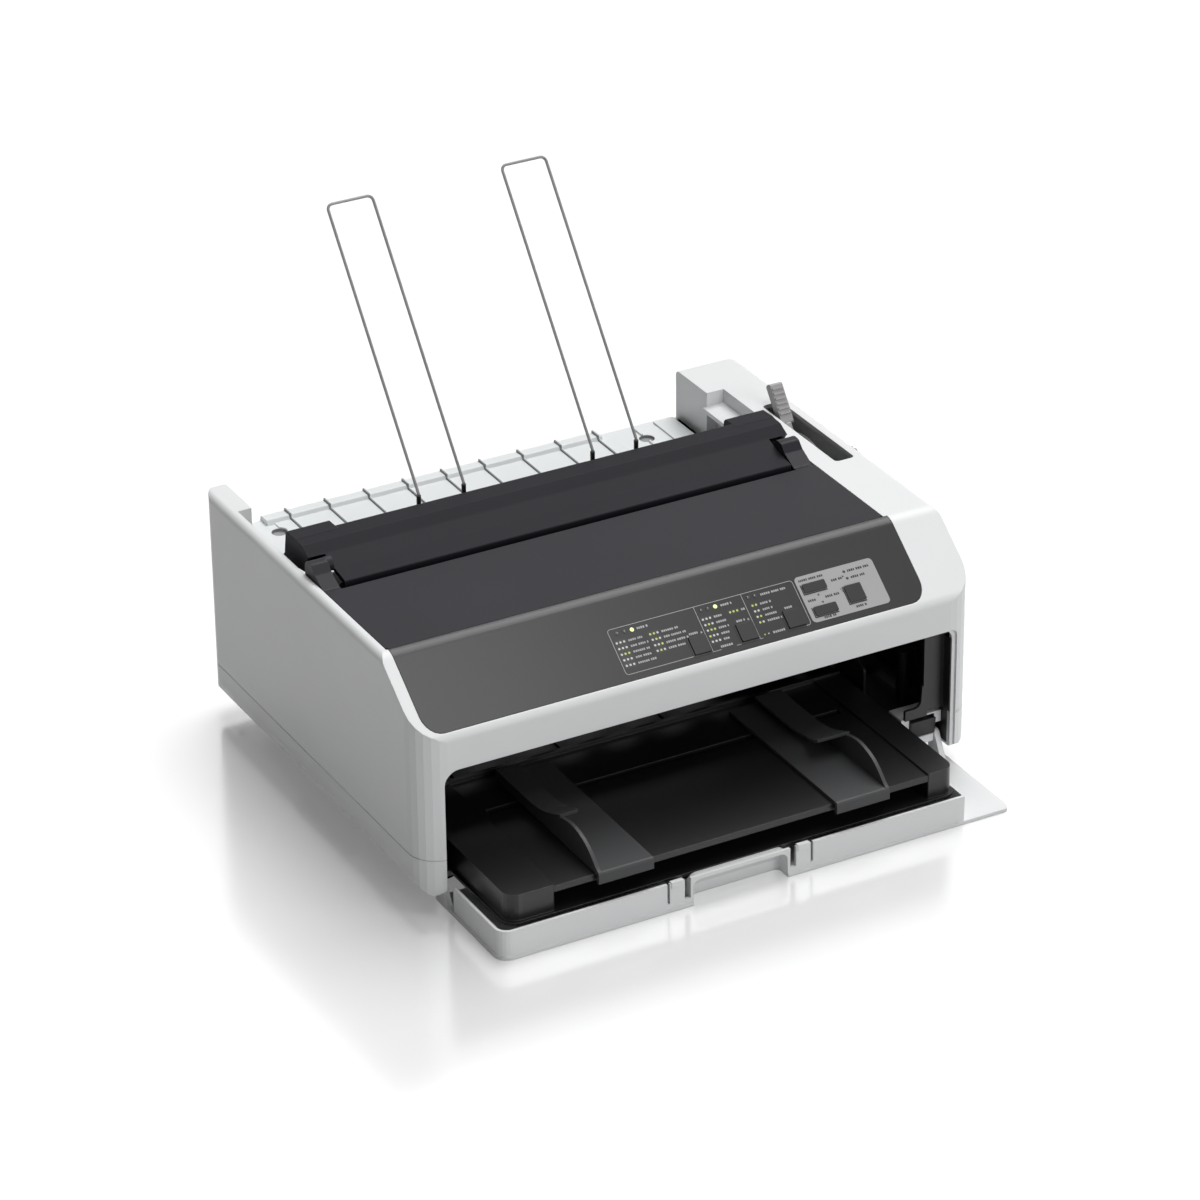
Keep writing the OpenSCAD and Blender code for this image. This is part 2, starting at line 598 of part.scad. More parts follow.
module front_door() {
  t = 2.2;
  lip_d = door_front + 0.8;
  color(c_case) difference() {
    union() {
      // outer skin, with rounded free corners
      along_z(0, t) polygon(outline([[door_x0, door_front, 10], [skin_x1, door_front, 5],
        [skin_x1, door_pivot + 2.2, 0], [door_x0, door_pivot + 2.2, 0]]));
      // raised lip: front wall with a side wall at each end
      difference() {
        along_z(0, lip_h) polygon(outline([[box_x0, lip_d, 9.2], [box_x1, lip_d, 3],
          [box_x1, -8, 0], [box_x0, -4, 0]]));
        along_z(t, lip_h + 1) polygon(outline([[box_x0 + t, lip_d + t, 7],
          [box_x1 - t, lip_d + t, 1], [box_x1 - t, 10, 0], [box_x0 + t, 10, 0]]));
      }
      // arched band over the handle, with a sloping back
      intersection() {
        along_d(lip_d, door_front + 15) plate2(handle_x0 - 2, handle_x1 + 2, -8, 20, 7);
        along_x(handle_x0 - 3, handle_x1 + 3) polygon([[lip_d, 0], [lip_d, 20],
          [door_front + 7.1, 20], [door_front + 7.1, 17], [door_front + 14.8, 8],
          [door_front + 14.8, 0]]);
      }
      // hinge eyes with their webs
      for (x = [door_x0, door_x1 - eye_w]) along_x(x, x + eye_w) union() {
        translate([door_pivot, door_pivot]) circle(r = 5);
        polygon([[door_pivot - 14, 1], [door_pivot + 2, 1], [door_pivot + 5, door_pivot],
          [door_pivot - 4.6, door_pivot + 2]]);
      }
      // caps of the latch tongues
      for (x = [handle_x0 - latch[2] + 1, handle_x1 + latch[1] + 1])
        block(x, x + 8.9, door_front + 0.2, lip_d + t + 0.4, lip_h - 3.5, lip_h + 0.8);
    }
    // hollow of the handle, open to the front and below
    intersection() {
      along_z(-1, 18) plate2(handle_x0, handle_x1, door_front - 8, door_front + 12.6, 4);
      along_d(door_front - 2, door_front + 13) plate2(handle_x0, handle_x1, -8, 17.8, 5);
      along_x(handle_x0 - 1, handle_x1 + 1) polygon([[door_front - 2, -1], [door_front - 2, 18],
        [door_front + 5.1, 18], [door_front + 5.1, 16.2], [door_front + 12.6, 7.3],
        [door_front + 12.6, -1]]);
    }
    // slots beside the latch tongues
    for (s = [[latch[0], latch[1]], [latch[2], latch[3]]]) {
      block(handle_x1 + s[0], handle_x1 + s[1], door_front - 1, lip_d + t + 1, 6, lip_h + 2);
      block(handle_x0 - s[1], handle_x0 - s[0], door_front - 1, lip_d + t + 1, 6, lip_h + 2);
    }
    rod_x(door_x0 - 1, door_x1 + 1, door_pivot, door_pivot, 2.5 + run);
  }
}

module door_hinge_pins() {
  color(c_steel) {
    rod_x(open_x0 - 7.5, open_x0 + 5.5, door_pivot, door_pivot, 2.5);
    rod_x(open_x1 - 5.5, open_x1 + 7.5, door_pivot, door_pivot, 2.5);
  }
}

// ---------- sheet tray and its edge guides ----------

tray_x0 = open_x0 + 12.6;
tray_x1 = door_x1 - 34.2;
arm_l = 33.1;
arm_r = 20.2;
tray_z0 = 18.5;
plate_top = 37.8;
tray_front = -tray_out;

module front_tray() {
  rear = tray_front + tray_l;
  color(c_black) difference() {
    union() {
      // two side arms with rounded outer corners
      along_z(tray_z0, plate_top + 1.5) polygon(outline([[tray_x0, tray_front, 10],
        [tray_x0 + arm_l, tray_front, 1], [tray_x0 + arm_l, rear, 0], [tray_x0, rear, 0]]));
      along_z(tray_z0, plate_top + 1.5) polygon(outline([[tray_x1 - arm_r, tray_front, 1],
        [tray_x1, tray_front, 8], [tray_x1, rear, 0], [tray_x1 - arm_r, rear, 0]]));
      // upper sheet plate
      block(tray_x0 + 20, tray_x1 - 12, tray_front + 0.8, rear, 33.2, plate_top);
      // lower plate, a little wider than the arms
      along_z(tray_z0, tray_z0 + 2) polygon(outline([[tray_x0 - 2.2, tray_front - 2.5, 10],
        [tray_x1 + 1.5, tray_front - 2.5, 9], [tray_x1 + 1.5, rear, 0], [tray_x0 - 2.2, rear, 0]]));
      // stop at the rear of the upper plate
      block(tray_x0, tray_x1, rear - 3, rear, tray_z0, plate_top + 3);
    }
    // hollow of the arms, open at the back
    for (s = [[tray_x0, tray_x0 + arm_l], [tray_x1 - arm_r, tray_x1]])
      block(s[0] + 2.5, s[1] - 2.5, tray_front + 8, rear + 1, tray_z0 + 2, plate_top - 1);
    // mouth between the two plates, right through
    block(tray_x0 + arm_l, tray_x1 - arm_r, tray_front - 3, rear + 1, tray_z0 + 2, 33.2);
    // slot of the guides' feet in the upper plate
    block(tray_x0 + arm_l + 6, tray_x1 - arm_r - 6, tray_front + 100, tray_front + 105.4, 32, 43);
  }
}

fin_t = 2.5;
paper_x = -6;
// Smooth curve through the points p
function curve(p, n = 4) = concat([for (i = [0:len(p) - 2], j = [0:n - 1])
  let(a = p[max(i - 1, 0)], b = p[i], c = p[i + 1], e = p[min(i + 2, len(p) - 1)], t = j / n)
  (2 * b + (c - a) * t + (2 * a - 5 * b + 4 * c - e) * t * t
    + (3 * b - a - 3 * c + e) * t * t * t) / 2], [p[len(p) - 1]]);

// Top edges of the fin and of its flange, from the tray front and the plate top
fin_top = [[-3.2, 2.7], [0.3, 4.9], [9.7, 12.9], [19.3, 17.6], [32.3, 20], [46.3, 17.9],
  [66.7, 11.3], [79.3, 8.7], [89.3, 7.8], [136, 7.6]];
flange_top = [[44, 21], [50, 18.2], [66.7, 11.6], [79.3, 9], [89.3, 8.1], [136, 7.9]];

// Outline drawn out along x from a to b, measured from x towards dir
module toward(x, dir, a, b) {
  along_x(min(x + dir * a, x + dir * b), max(x + dir * a, x + dir * b)) children();
}

// Edge guide with its fin at x and its base towards dir
module edge_guide(x, dir, flange, tip) {
  base = 40;
  end = tray_front + 136;
  color(c_guide) {
    // base with a lip wrapped over the front of the tray
    toward(x, dir, 0, base) polygon(outline([[tray_front - 4.2, plate_top + 2.7, 2],
      [tray_front - 4.2, 32, 0.6], [tray_front - 1.2, 32, 0.6],
      [tray_front - 1.2, plate_top + gap, 0.2], [end, plate_top + gap, 0],
      [end, plate_top + 2.7, 0]]));
    toward(x, dir, 0, fin_t) translate([tray_front, plate_top])
      polygon(concat(curve(fin_top), [[136, gap], [-3.2, gap]]));
    // hold-down flange, turned up at its tip
    intersection() {
      toward(x, dir, 0, tip + 2) translate([tray_front, plate_top])
        polygon(concat(curve(flange_top), [[136, 5.9]], [for (q = [4:-1:0]) flange_top[q] - [0.4, 2]]));
      along_z(plate_top, 100) polygon([[x, tray_front + 47], [x + dir * tip, tray_front + 49],
        [x + dir * (tip + 1), tray_front + 52], [x + dir * flange, tray_front + 68],
        [x + dir * flange, end + 1], [x, end + 1]]);
    }
    // foot that runs in the plate slot
    toward(x, dir, 4, 30) polygon([[tray_front + 100.4, 34.5], [tray_front + 105, 34.5],
      [tray_front + 105, plate_top + 1], [tray_front + 100.4, plate_top + 1]]);
  }
}
module left_edge_guide() { edge_guide(paper_x - paper_w / 2, 1, 18, 14); }
module right_edge_guide() { edge_guide(paper_x + paper_w / 2, -1, 20, 23); }

// ---------- paper release lever ----------

lever_x = side_x - 16.8;
lever_d = 188.5;
lever_z = top_z - 48;
lever_lean = 36.6;

module lever_frame() {
  translate([mid_x + lever_x, front_y + lever_d, lever_z]) rotate([-lever_lean, 0, 0])
    rotate([0, -90, 0]) children();
}

module release_lever() {
  len = 81;
  color([0.60, 0.59, 0.60]) difference() {
    union() {
      // arm, then the grip that stands out of the slot
      lever_frame() translate([0, 0, -2]) linear_extrude(4) plate2(0, 52, -4, 4, 1);
      lever_frame() translate([0, 0, -4.8]) linear_extrude(9.6) plate2(51, len, -3.2, 3.2, 2);
      lever_frame() translate([0, 0, -4]) cylinder(r = 8, h = 8);
      // ribs across the front of the grip
      for (i = [0:5]) lever_frame() translate([58 + i * 3.6, -4, -4.2]) cube([1.6, 1.4, 8.4]);
    }
    lever_frame() translate([0, 0, -10]) cylinder(r = 3 + run, h = 20);
  }
}

module lever_quadrant() {
  // dark arc that closes the slot in front of the lever
  color(c_black) lever_frame() translate([0, 0, 2]) rotate([0, 0, -78])
    rotate_extrude(angle = 82) translate([40, 0]) square([5.4, 2.2]);
}

module lever_pin() {
  color(c_steel) rod_x(lever_x - 12, side_x - wall, lever_d, lever_z, 3);
}

// ---------- power switch and inner front trim ----------

sw_x = side_x - 32.4;
sw_d = 13.5;
switch_x0 = door_x1 - 30;

module switch_panel() {
  color(c_case) difference() {
    union() {
      block(switch_x0, door_x1 - eye_w - gap, sw_d, sw_d + 2.4, foot_gap + 1.4, 36.5);
      block(switch_x0, open_x1 - gap, sw_d, sw_d + 2.4, 28, 36.5);
      block(switch_x0, open_x1 - gap, sw_d, sw_d + 16, 34.5, 36.5);
    }
    block(sw_x - 9.9, sw_x + 9.9, sw_d - 1, sw_d + 4, 20, 35.4);
  }
}

module power_switch() {
  color(c_black) difference() {
    along_x(sw_x - 9.6, sw_x + 9.6) polygon([[sw_d - 1.2, 21.4], [sw_d - 2.6, 33.6],
      [sw_d + 9, 32], [sw_d + 9, 23.4]]);
    rod_x(sw_x - 11, sw_x + 11, sw_d + 5, 27.7, 1.5 + run);
  }
}

module inner_bezel() {
  color(c_black) {
    block(side_x - 33, open_x1 + 3, 11, 13.4, seam_z + gap, opening_top + 2);
    // liner behind the front face of the right pillar
    block(open_x1 - 0.9, open_x1 - 0.1, 3, 13.4, seam_z + gap, opening_top - 8);
    // tab that seats on the back of the pillar
    block(open_x1 + 0.5, open_x1 + 3, 6, 11.5, seam_z + 6, opening_top);
    along_d(11, 13.4) polygon(outline([[side_x - 47, 36.6, 0], [side_x - 30, 36.6, 0],
      [side_x - 30, 60, 0], [side_x - 34, 60, 0], [side_x - 35, 44, 5],
      [side_x - 47, 44, 1]]));
    // pivot of the rocker, held behind the trim
    rod_x(sw_x - 12, sw_x + 11.4, sw_d + 5, 27.7, 1.5);
    for (x = [sw_x - 12, sw_x + 9.9]) block(x, x + 1.5, sw_d + 2.6, sw_d + 8, 25, 34.4);
  }
}

// ---------- print works ----------

frame_x0 = tray_x0 - 7.2;
frame_x1 = tray_x1 + 4.2;
shaft_d = platen_d - 50;
shaft_z = platen_z - 26;

module side_frame(x) {
  color(c_steel) difference() {
    along_x(x, x + 2) polygon(outline([[62, foot_gap + wall, 0], [232, foot_gap + wall, 0],
      [232, 60, 6], [206, 84, 6], [206, 118, 8], [190, 156, 6], [162, 156, 6],
      [150, 128, 8], [84, 128, 6], [84, 60, 8], [62, 52, 4]]));
    // weight-saving window
    along_x(x - 1, x + 3) polygon(outline([[96, 34, 6], [198, 34, 6], [188, 62, 6], [104, 62, 6]]));
    rod_x(x - 1, x + 3, platen_d, platen_z, 4 + run);
    rod_x(x - 1, x + 3, pinion_d, pinion_z, 3.4);
    rod_x(x - 1, x + 3, shaft_d, shaft_z, shaft_r);
  }
}
module left_side_frame() { side_frame(frame_x0); }
module right_side_frame() { side_frame(frame_x1); }

module cross_pan() {
  color(c_steel) difference() {
    block(frame_x0 + 2, frame_x1, 88, 204, 70, 71.5);
    for (i = [0:5]) along_z(69, 73) plate2(frame_x0 + 60 + i * 40, frame_x0 + 82 + i * 40, 120, 180, 5);
  }
}

module platen() {
  color(c_black) difference() {
    rod_x(frame_x0 + 14, frame_x1 - 10, platen_d, platen_z, platen_r);
    rod_x(frame_x0, frame_x1, platen_d, platen_z, 4);
  }
}

// Polar flank point of a tooth, at radius r, for a gear of n teeth
function roll_angle(r, rb) = tan(acos(rb / r)) * 180 / PI - acos(rb / r);
function half_tooth(r, n) =
  let(rp = gear_m * n / 2, rb = rp * cos(20))
  360 / n * 0.235 + roll_angle(rp, rb) - roll_angle(max(r, rb), rb);
function gear_points(n, phase) =
  let(rp = gear_m * n / 2, rr = rp - 1.25 * gear_m, ra = rp + 0.9 * gear_m,
      radii = [rr, rp - 0.4 * gear_m, rp, ra])
  [for (i = [0:n - 1], k = [0:7])
    let(j = k < 4 ? k : 7 - k, side = k < 4 ? -1 : 1,
        a = phase + i * 360 / n + side * half_tooth(radii[j], n))
    radii[j] * [cos(a), sin(a)]];

gear_x = frame_x0 - 8;
mesh_angle = -62;
teeth = [34, 24, 12];
// Axis distances from the platen
idler_far = gear_m * (teeth[0] + teeth[1]) / 2;
pinion_far = idler_far + gear_m * (teeth[1] + teeth[2]) / 2;
idler_d = platen_d + idler_far * cos(mesh_angle);
idler_z = platen_z + idler_far * sin(mesh_angle);
pinion_d = platen_d + pinion_far * cos(mesh_angle);
pinion_z = platen_z + pinion_far * sin(mesh_angle);

module gear(n, d, z, x, width, bore, phase) {
  along_x(x, x + width) translate([d, z]) difference() {
    polygon(gear_points(n, phase));
    circle(r = bore);
  }
}

module platen_shaft() {
  color(c_steel) rod_x(gear_x - 2, side_x + 9, platen_d, platen_z, 4);
}
module platen_gear() {
  color([0.92, 0.92, 0.88]) difference() {
    gear(teeth[0], platen_d, platen_z, gear_x, 5, 4, mesh_angle);
    for (a = [0:60:300]) rod_x(gear_x - 1, gear_x + 6,
      platen_d + gear_m * 10 * cos(a), platen_z + gear_m * 10 * sin(a), gear_m * 3);
  }
}
module idler_gear() {
  color([0.92, 0.92, 0.88]) gear(teeth[1], idler_d, idler_z, gear_x, 5, 3 + run,
    mesh_angle + 180 / teeth[1]);
}
module idler_stud() {
  color(c_steel) rod_x(gear_x - 1, frame_x0, idler_d, idler_z, 3);
}
module motor_pinion() {
  color([0.80, 0.66, 0.30]) difference() {
    union() {
      gear(teeth[2], pinion_d, pinion_z, gear_x, 5, 1, mesh_angle + 180);
      rod_x(gear_x, frame_x0 + 9, pinion_d, pinion_z, 2.4);
    }
  }
}
module feed_motor() {
  color([0.35, 0.35, 0.37]) difference() {
    union() {
      rod_x(frame_x0 + 4, frame_x0 + 24, pinion_d, pinion_z, 17);
      block(frame_x0 + 2.1, frame_x0 + 4, pinion_d - 17, pinion_d + 17, pinion_z - 17, pinion_z + 17);
    }
    rod_x(frame_x0 + 1, frame_x0 + 12, pinion_d, pinion_z, 2.4 + run);
  }
}
module platen_knob() {
  n = 18;
  color([0.75, 0.75, 0.76]) difference() {
    translate([mid_x + side_x + 0.6, front_y + platen_d, platen_z]) rotate([0, 90, 0]) {
      linear_extrude(knob_out - 0.6) polygon([for (i = [0:4 * n - 1])
        (17 - (i % 4 < 2 ? 0 : 1)) * [cos(i * 90 / n), sin(i * 90 / n)]]);
    }
    rod_x(side_x, side_x + 9, platen_d, platen_z, 4);
  }
}

home_x = frame_x0 + 32;
carriage_w = 46;

module carriage() {
  x0 = home_x;
  color([0.16, 0.16, 0.17]) difference() {
    union() {
      along_x(x0, x0 + carriage_w) polygon(outline([[shaft_d - 11, shaft_z - 9, 3],
        [shaft_d + 14, shaft_z - 9, 3], [shaft_d + 14, shaft_z + 12, 2],
        [shaft_d - 11, shaft_z + 12, 2]]));
      // foot that rides on the front rail
      along_x(x0 + 8, x0 + 38) polygon([[shaft_d - 42, shaft_z + 3.3], [shaft_d - 10, shaft_z + 3.3],
        [shaft_d - 10, shaft_z + 10], [shaft_d - 22, shaft_z + 10], [shaft_d - 42, shaft_z + 6]]);
      // cheeks that hold the print head
      for (x = [x0 + 1, x0 + 41]) along_x(x, x + 4) polygon(outline([[shaft_d - 4, shaft_z + 8, 0],
        [shaft_d + 14, shaft_z + 8, 0], [shaft_d + 22, shaft_z + 30, 4],
        [shaft_d + 4, shaft_z + 30, 4]]));
    }
    rod_x(x0 - 1, x0 + carriage_w + 1, shaft_d, shaft_z, shaft_r + run);
  }
}

module print_head() {
  x = home_x + carriage_w / 2;
  color([0.45, 0.46, 0.48]) {
    // finned body
    for (i = [0:6]) block(x - 17, x + 17, shaft_d - 8 + i * 3.6, shaft_d - 6 + i * 3.6,
      shaft_z + 14, shaft_z + 44);
    block(x - 13, x + 13, shaft_d - 8, shaft_d + 16, shaft_z + 12, shaft_z + 38);
    // nose that points at the platen
    along_x(x - 5, x + 5) polygon([[shaft_d + 15, shaft_z + 16], [platen_d - platen_r - 1.5, platen_z - 4],
      [platen_d - platen_r - 1.5, platen_z + 4], [shaft_d + 15, shaft_z + 36]]);
  }
}

module carriage_shaft() {
  color(c_steel) rod_x(frame_x0 - 3, frame_x1 + 5, shaft_d, shaft_z, shaft_r);
}
module carriage_rail() {
  color(c_steel) along_x(frame_x0 + 2, frame_x1) polygon([[shaft_d - 46, shaft_z + 3],
    [shaft_d - 30, shaft_z + 3], [shaft_d - 30, shaft_z + 1.5], [shaft_d - 44.5, shaft_z + 1.5],
    [shaft_d - 44.5, shaft_z - 10], [shaft_d - 46, shaft_z - 10]]);
}

belt_r = 6;
belt_d = shaft_d - 22;
belt_z = shaft_z - 15;
belt_x0 = frame_x0 + 20;
belt_x1 = frame_x1 - 16;

module timing_belt() {
  color(c_black) along_z(belt_z, belt_z + 6) difference() {
    union() {
      for (x = [belt_x0, belt_x1]) translate([x, belt_d]) circle(r = belt_r + 1.4);
      translate([belt_x0, belt_d - belt_r - 1.4]) square([belt_x1 - belt_x0, 2 * belt_r + 2.8]);
    }
    for (x = [belt_x0, belt_x1]) translate([x, belt_d]) circle(r = belt_r + 0.1);
    translate([belt_x0, belt_d - belt_r - 0.1]) square([belt_x1 - belt_x0, 2 * belt_r + 0.2]);
  }
}
module drive_pulley() {
  color([0.80, 0.66, 0.30]) {
    rod_z(belt_x0, belt_d, belt_z, belt_z + 6.4, belt_r);
    rod_z(belt_x0, belt_d, belt_z + 6.4, belt_z + 7.4, belt_r + 2);
    rod_z(belt_x0, belt_d, belt_z - 8, belt_z, 2.5);
  }
}
module carriage_motor() {
  color([0.35, 0.35, 0.37]) difference() {
    union() {
      rod_z(belt_x0, belt_d, belt_z - 25.5, belt_z - 4, 15);
      block(belt_x0 - 17, belt_x0 + 17, belt_d - 17, belt_d + 17, belt_z - 4, belt_z - 2.4);
    }
    rod_z(belt_x0, belt_d, belt_z - 10, belt_z, 2.5 + run);
  }
}
module idle_pulley() {
  color([0.92, 0.92, 0.88]) difference() {
    union() {
      rod_z(belt_x1, belt_d, belt_z, belt_z + 6.4, belt_r);
      rod_z(belt_x1, belt_d, belt_z + 6.4, belt_z + 7.4, belt_r + 2);
    }
    rod_z(belt_x1, belt_d, belt_z - 1, belt_z + 9, 2 + run);
  }
}
module pulley_stud() {
  color(c_steel) {
    rod_z(belt_x1, belt_d, belt_z - 5, belt_z + 8, 2);
    block(belt_x1 - 5, frame_x1, belt_d - 5, belt_d + 5, belt_z - 5, belt_z - 2);
  }
}

module ribbon_cartridge() {
  x0 = frame_x0 + 18;
  x1 = frame_x1 - 12;
  z0 = shaft_z + 19;
  color([0.13, 0.13, 0.14]) union() {
    along_z(z0, z0 + 20) polygon(outline([[x0, 64, 8], [x1, 64, 8], [x1, 102, 8], [x0, 102, 8]]));
    // winding knob
    rod_z(x0 + 40, 84, z0 + 19, z0 + 25, 8);
    // arms that lead the ribbon past the platen
    for (x = [x0, x1 - 9]) along_z(z0 + 3, z0 + 15) polygon(outline([[x, 98, 0], [x + 9, 98, 0],
      [x + 9, 152, 3], [x, 152, 3]]));
  }
}

// ---------- electrics ----------

inlet_x = 150;

module main_board() {
  color([0.10, 0.35, 0.20]) {
    block(-170, 22, case_d - 68, case_d - 8, 24, 25.6);
    for (i = [0:4]) block(-150 + i * 30, -136 + i * 30, case_d - 60, case_d - 44, 25.5, 29);
    for (x = [-160, 12], d = [case_d - 62, case_d - 19]) rod_z(x, d, foot_gap + wall, 24.1, 3);
  }
}
module power_supply() {
  color(c_steel) difference() {
    block(40, 176, case_d - 70, case_d - 14, foot_gap + wall, 66);
    for (i = [0:8]) block(50 + i * 12, 56 + i * 12, case_d - 60, case_d - 24, 60, 67);
  }
}
module power_inlet() {
  color(c_black) difference() {
    block(inlet_x - 13.8, inlet_x + 13.8, case_d - 14, case_d - 0.4, 47.2, 68.8);
    block(inlet_x - 11, inlet_x + 11, case_d - 11, case_d, 49.5, 66.5);
  }
  color(c_steel) for (x = [-6, 0, 6]) block(inlet_x + x - 1, inlet_x + x + 1,
    case_d - 11.5, case_d - 4, x == 0 ? 59 : 53, x == 0 ? 63 : 57);
}
module data_connectors() {
  color([0.5, 0.52, 0.55]) {
    difference() {
      block(-149.7, -64.3, case_d - 14, case_d - 1, 47.2, 68.8);
      block(-143, -80, case_d - 8, case_d, 52, 64);
    }
    block(-141, -82, case_d - 8.5, case_d - 3, 56.5, 59.5);
  }
}

// ---------- feet and screws ----------

module rubber_feet() {
  color([0.15, 0.15, 0.15]) for (x = [-foot_x, foot_x], d = foot_d) rod_z(x, d, 0, 3, 10);
}
module case_screws() {
  color(c_steel) for (x = [-side_x + 12, side_x - 12], d = [70, case_d - 22]) {
    rod_z(x, d, seam_z - 10.5, seam_z - 8, 3.2);
    rod_z(x, d, seam_z - 8.2, seam_z + 9, 1.5);
  }
}

lower_case();
upper_case();
control_panel();
font_button();
pitch_button();
tear_off_button();
load_eject_button();
line_feed_button();
pause_button();
indicator_lights();
panel_board();
printer_cover();
cover_hinge_pins();
sheet_guide();
guide_hinge_pins();
wire_sleeves();
left_wire_support();
right_wire_support();
rear_paper_guide();
front_door();
door_hinge_pins();
front_tray();
left_edge_guide();
right_edge_guide();
release_lever();
lever_quadrant();
lever_pin();
power_switch();
switch_panel();
inner_bezel();
left_side_frame();
right_side_frame();
cross_pan();
platen();
platen_shaft();
platen_gear();
platen_knob();
idler_gear();
idler_stud();
motor_pinion();
feed_motor();
carriage();
print_head();
carriage_shaft();
carriage_rail();
timing_belt();
drive_pulley();
carriage_motor();
idle_pulley();
pulley_stud();
ribbon_cartridge();
main_board();
power_supply();
power_inlet();
data_connectors();
rubber_feet();
case_screws();
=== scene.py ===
import bpy, json, math, random
from mathutils import Vector, Matrix


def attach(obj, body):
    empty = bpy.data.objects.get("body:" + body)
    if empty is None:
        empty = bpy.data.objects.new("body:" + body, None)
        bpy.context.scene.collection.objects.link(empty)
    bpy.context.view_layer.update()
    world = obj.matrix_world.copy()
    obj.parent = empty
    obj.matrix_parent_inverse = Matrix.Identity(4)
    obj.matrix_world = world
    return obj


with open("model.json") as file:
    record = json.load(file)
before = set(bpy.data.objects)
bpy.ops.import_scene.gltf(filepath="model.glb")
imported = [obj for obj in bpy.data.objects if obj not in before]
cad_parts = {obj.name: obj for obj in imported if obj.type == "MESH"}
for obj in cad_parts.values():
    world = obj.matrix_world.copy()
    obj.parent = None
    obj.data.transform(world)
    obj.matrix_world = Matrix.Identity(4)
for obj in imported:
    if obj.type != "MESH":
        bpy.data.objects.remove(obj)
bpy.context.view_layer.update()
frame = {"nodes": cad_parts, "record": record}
cadNodes = frame["nodes"]
print("frame loaded:", len(cadNodes), "parts")

# places that the whole script shares, in millimetres
case = {
    "midX": -6.3, "frontY": -134.1475,  # middle of the case and its front face
    "sideX": 207.0, "depth": 320.5, "topZ": 168.3,
    "foldD": 52.5, "slope": 37.5,  # where the control slope starts, and its angle
    "cornerR": 15.0, "wall": 2.5,
}


def place(x, d, z):  # x across, d behind the front face and z up, to metres in the frame
    return Vector(((case["midX"] + x) / 1000, (case["frontY"] + d) / 1000, z / 1000))


def onSlope(x, s, lift=0.0):  # x across, s down the control slope, lift outwards
    a = math.radians(case["slope"])
    return place(x, case["foldD"] - s * math.cos(a) - lift * math.sin(a),
                 case["topZ"] - s * math.sin(a) + lift * math.cos(a))


def newMaterial(name):
    mat = bpy.data.materials.new(name)
    mat.use_nodes = True
    tree = mat.node_tree
    return mat, tree, tree.nodes["Principled BSDF"]


def addNode(tree, kind, **values):
    node = tree.nodes.new(kind)
    for key, value in values.items():
        if key in node.inputs:
            node.inputs[key].default_value = value
        else:
            setattr(node, key, value)
    return node


def softEdge(tree, radius):  # rounds the look of sharp moulded edges
    bevel = addNode(tree, "ShaderNodeBevel", samples=4)
    bevel.inputs["Radius"].default_value = radius
    return bevel


def compare(tree, value, limit, mode="GREATER_THAN"):
    node = addNode(tree, "ShaderNodeMath", operation=mode)
    tree.links.new(value, node.inputs[0])
    node.inputs[1].default_value = limit
    return node.outputs[0]


def both(tree, a, b):
    node = addNode(tree, "ShaderNodeMath", operation="MULTIPLY")
    tree.links.new(a, node.inputs[0])
    tree.links.new(b, node.inputs[1])
    return node.outputs[0]


# mixes a painted shade or painted highlight colour in by a mask
def mixColour(tree, factor, a, paintedColour):
    mix = addNode(tree, "ShaderNodeMix", data_type="RGBA")
    tree.links.new(factor, mix.inputs["Factor"])
    tree.links.new(a, mix.inputs[6])
    mix.inputs[7].default_value = (*paintedColour, 1)
    return mix.outputs[2]


# painted shade for the inside of the case: where it is coloured and how dark
inside = {
    "behindFront": 6.5, "low": 14.6, "high": 130.4,  # where the case is open to the inside
    "skin": 0.3, "everyHeight": 9.0, "colour": (0.004, 0.004, 0.0045),
}


def paintedInteriorShade(tree, coord, colour):  # painted shade: the inner faces of the case mouldings, where shade falls behind the opening, are coloured near black by position
    middle = place(0, case["depth"] / 2, 0)
    shift = addNode(tree, "ShaderNodeVectorMath", operation="SUBTRACT")
    tree.links.new(coord.outputs["Object"], shift.inputs[0])
    shift.inputs[1].default_value = middle
    whole = addNode(tree, "ShaderNodeVectorMath", operation="ABSOLUTE")
    tree.links.new(shift.outputs[0], whole.inputs[0])
    r = case["cornerR"]
    corner = addNode(tree, "ShaderNodeVectorMath", operation="SUBTRACT")
    tree.links.new(whole.outputs[0], corner.inputs[0])
    corner.inputs[1].default_value = ((case["sideX"] - r) / 1000,
                                      (case["depth"] / 2 - r) / 1000, inside["everyHeight"])
    outside = addNode(tree, "ShaderNodeVectorMath", operation="MAXIMUM")
    tree.links.new(corner.outputs[0], outside.inputs[0])
    away = addNode(tree, "ShaderNodeVectorMath", operation="LENGTH")
    tree.links.new(outside.outputs[0], away.inputs[0])
    reach = (r - case["wall"] - inside["skin"]) / 1000
    mask = compare(tree, away.outputs["Value"], reach, "LESS_THAN")
    axes = addNode(tree, "ShaderNodeSeparateXYZ")
    tree.links.new(coord.outputs["Object"], axes.inputs[0])
    front = (case["frontY"] + inside["behindFront"]) / 1000
    mask = both(tree, mask, compare(tree, axes.outputs["Y"], front))
    mask = both(tree, mask, compare(tree, axes.outputs["Z"], inside["low"] / 1000))
    mask = both(tree, mask, compare(tree, axes.outputs["Z"], inside["high"] / 1000, "LESS_THAN"))
    return mixColour(tree, mask, colour, inside["colour"])


deck = {
    "top": 134.5, "firstRib": -148.1, "ribStep": 29.75, "ribWide": 1.5, "ribSteps": 8.5,
    "ribShadeColour": (0.26, 0.27, 0.275),
    "holes": (-161.8, 122.4), "holeFromBack": 25.0, "holeR": 7.4, "holeLip": 0.25,
    "holeShadeColour": (0.30, 0.31, 0.315),
}


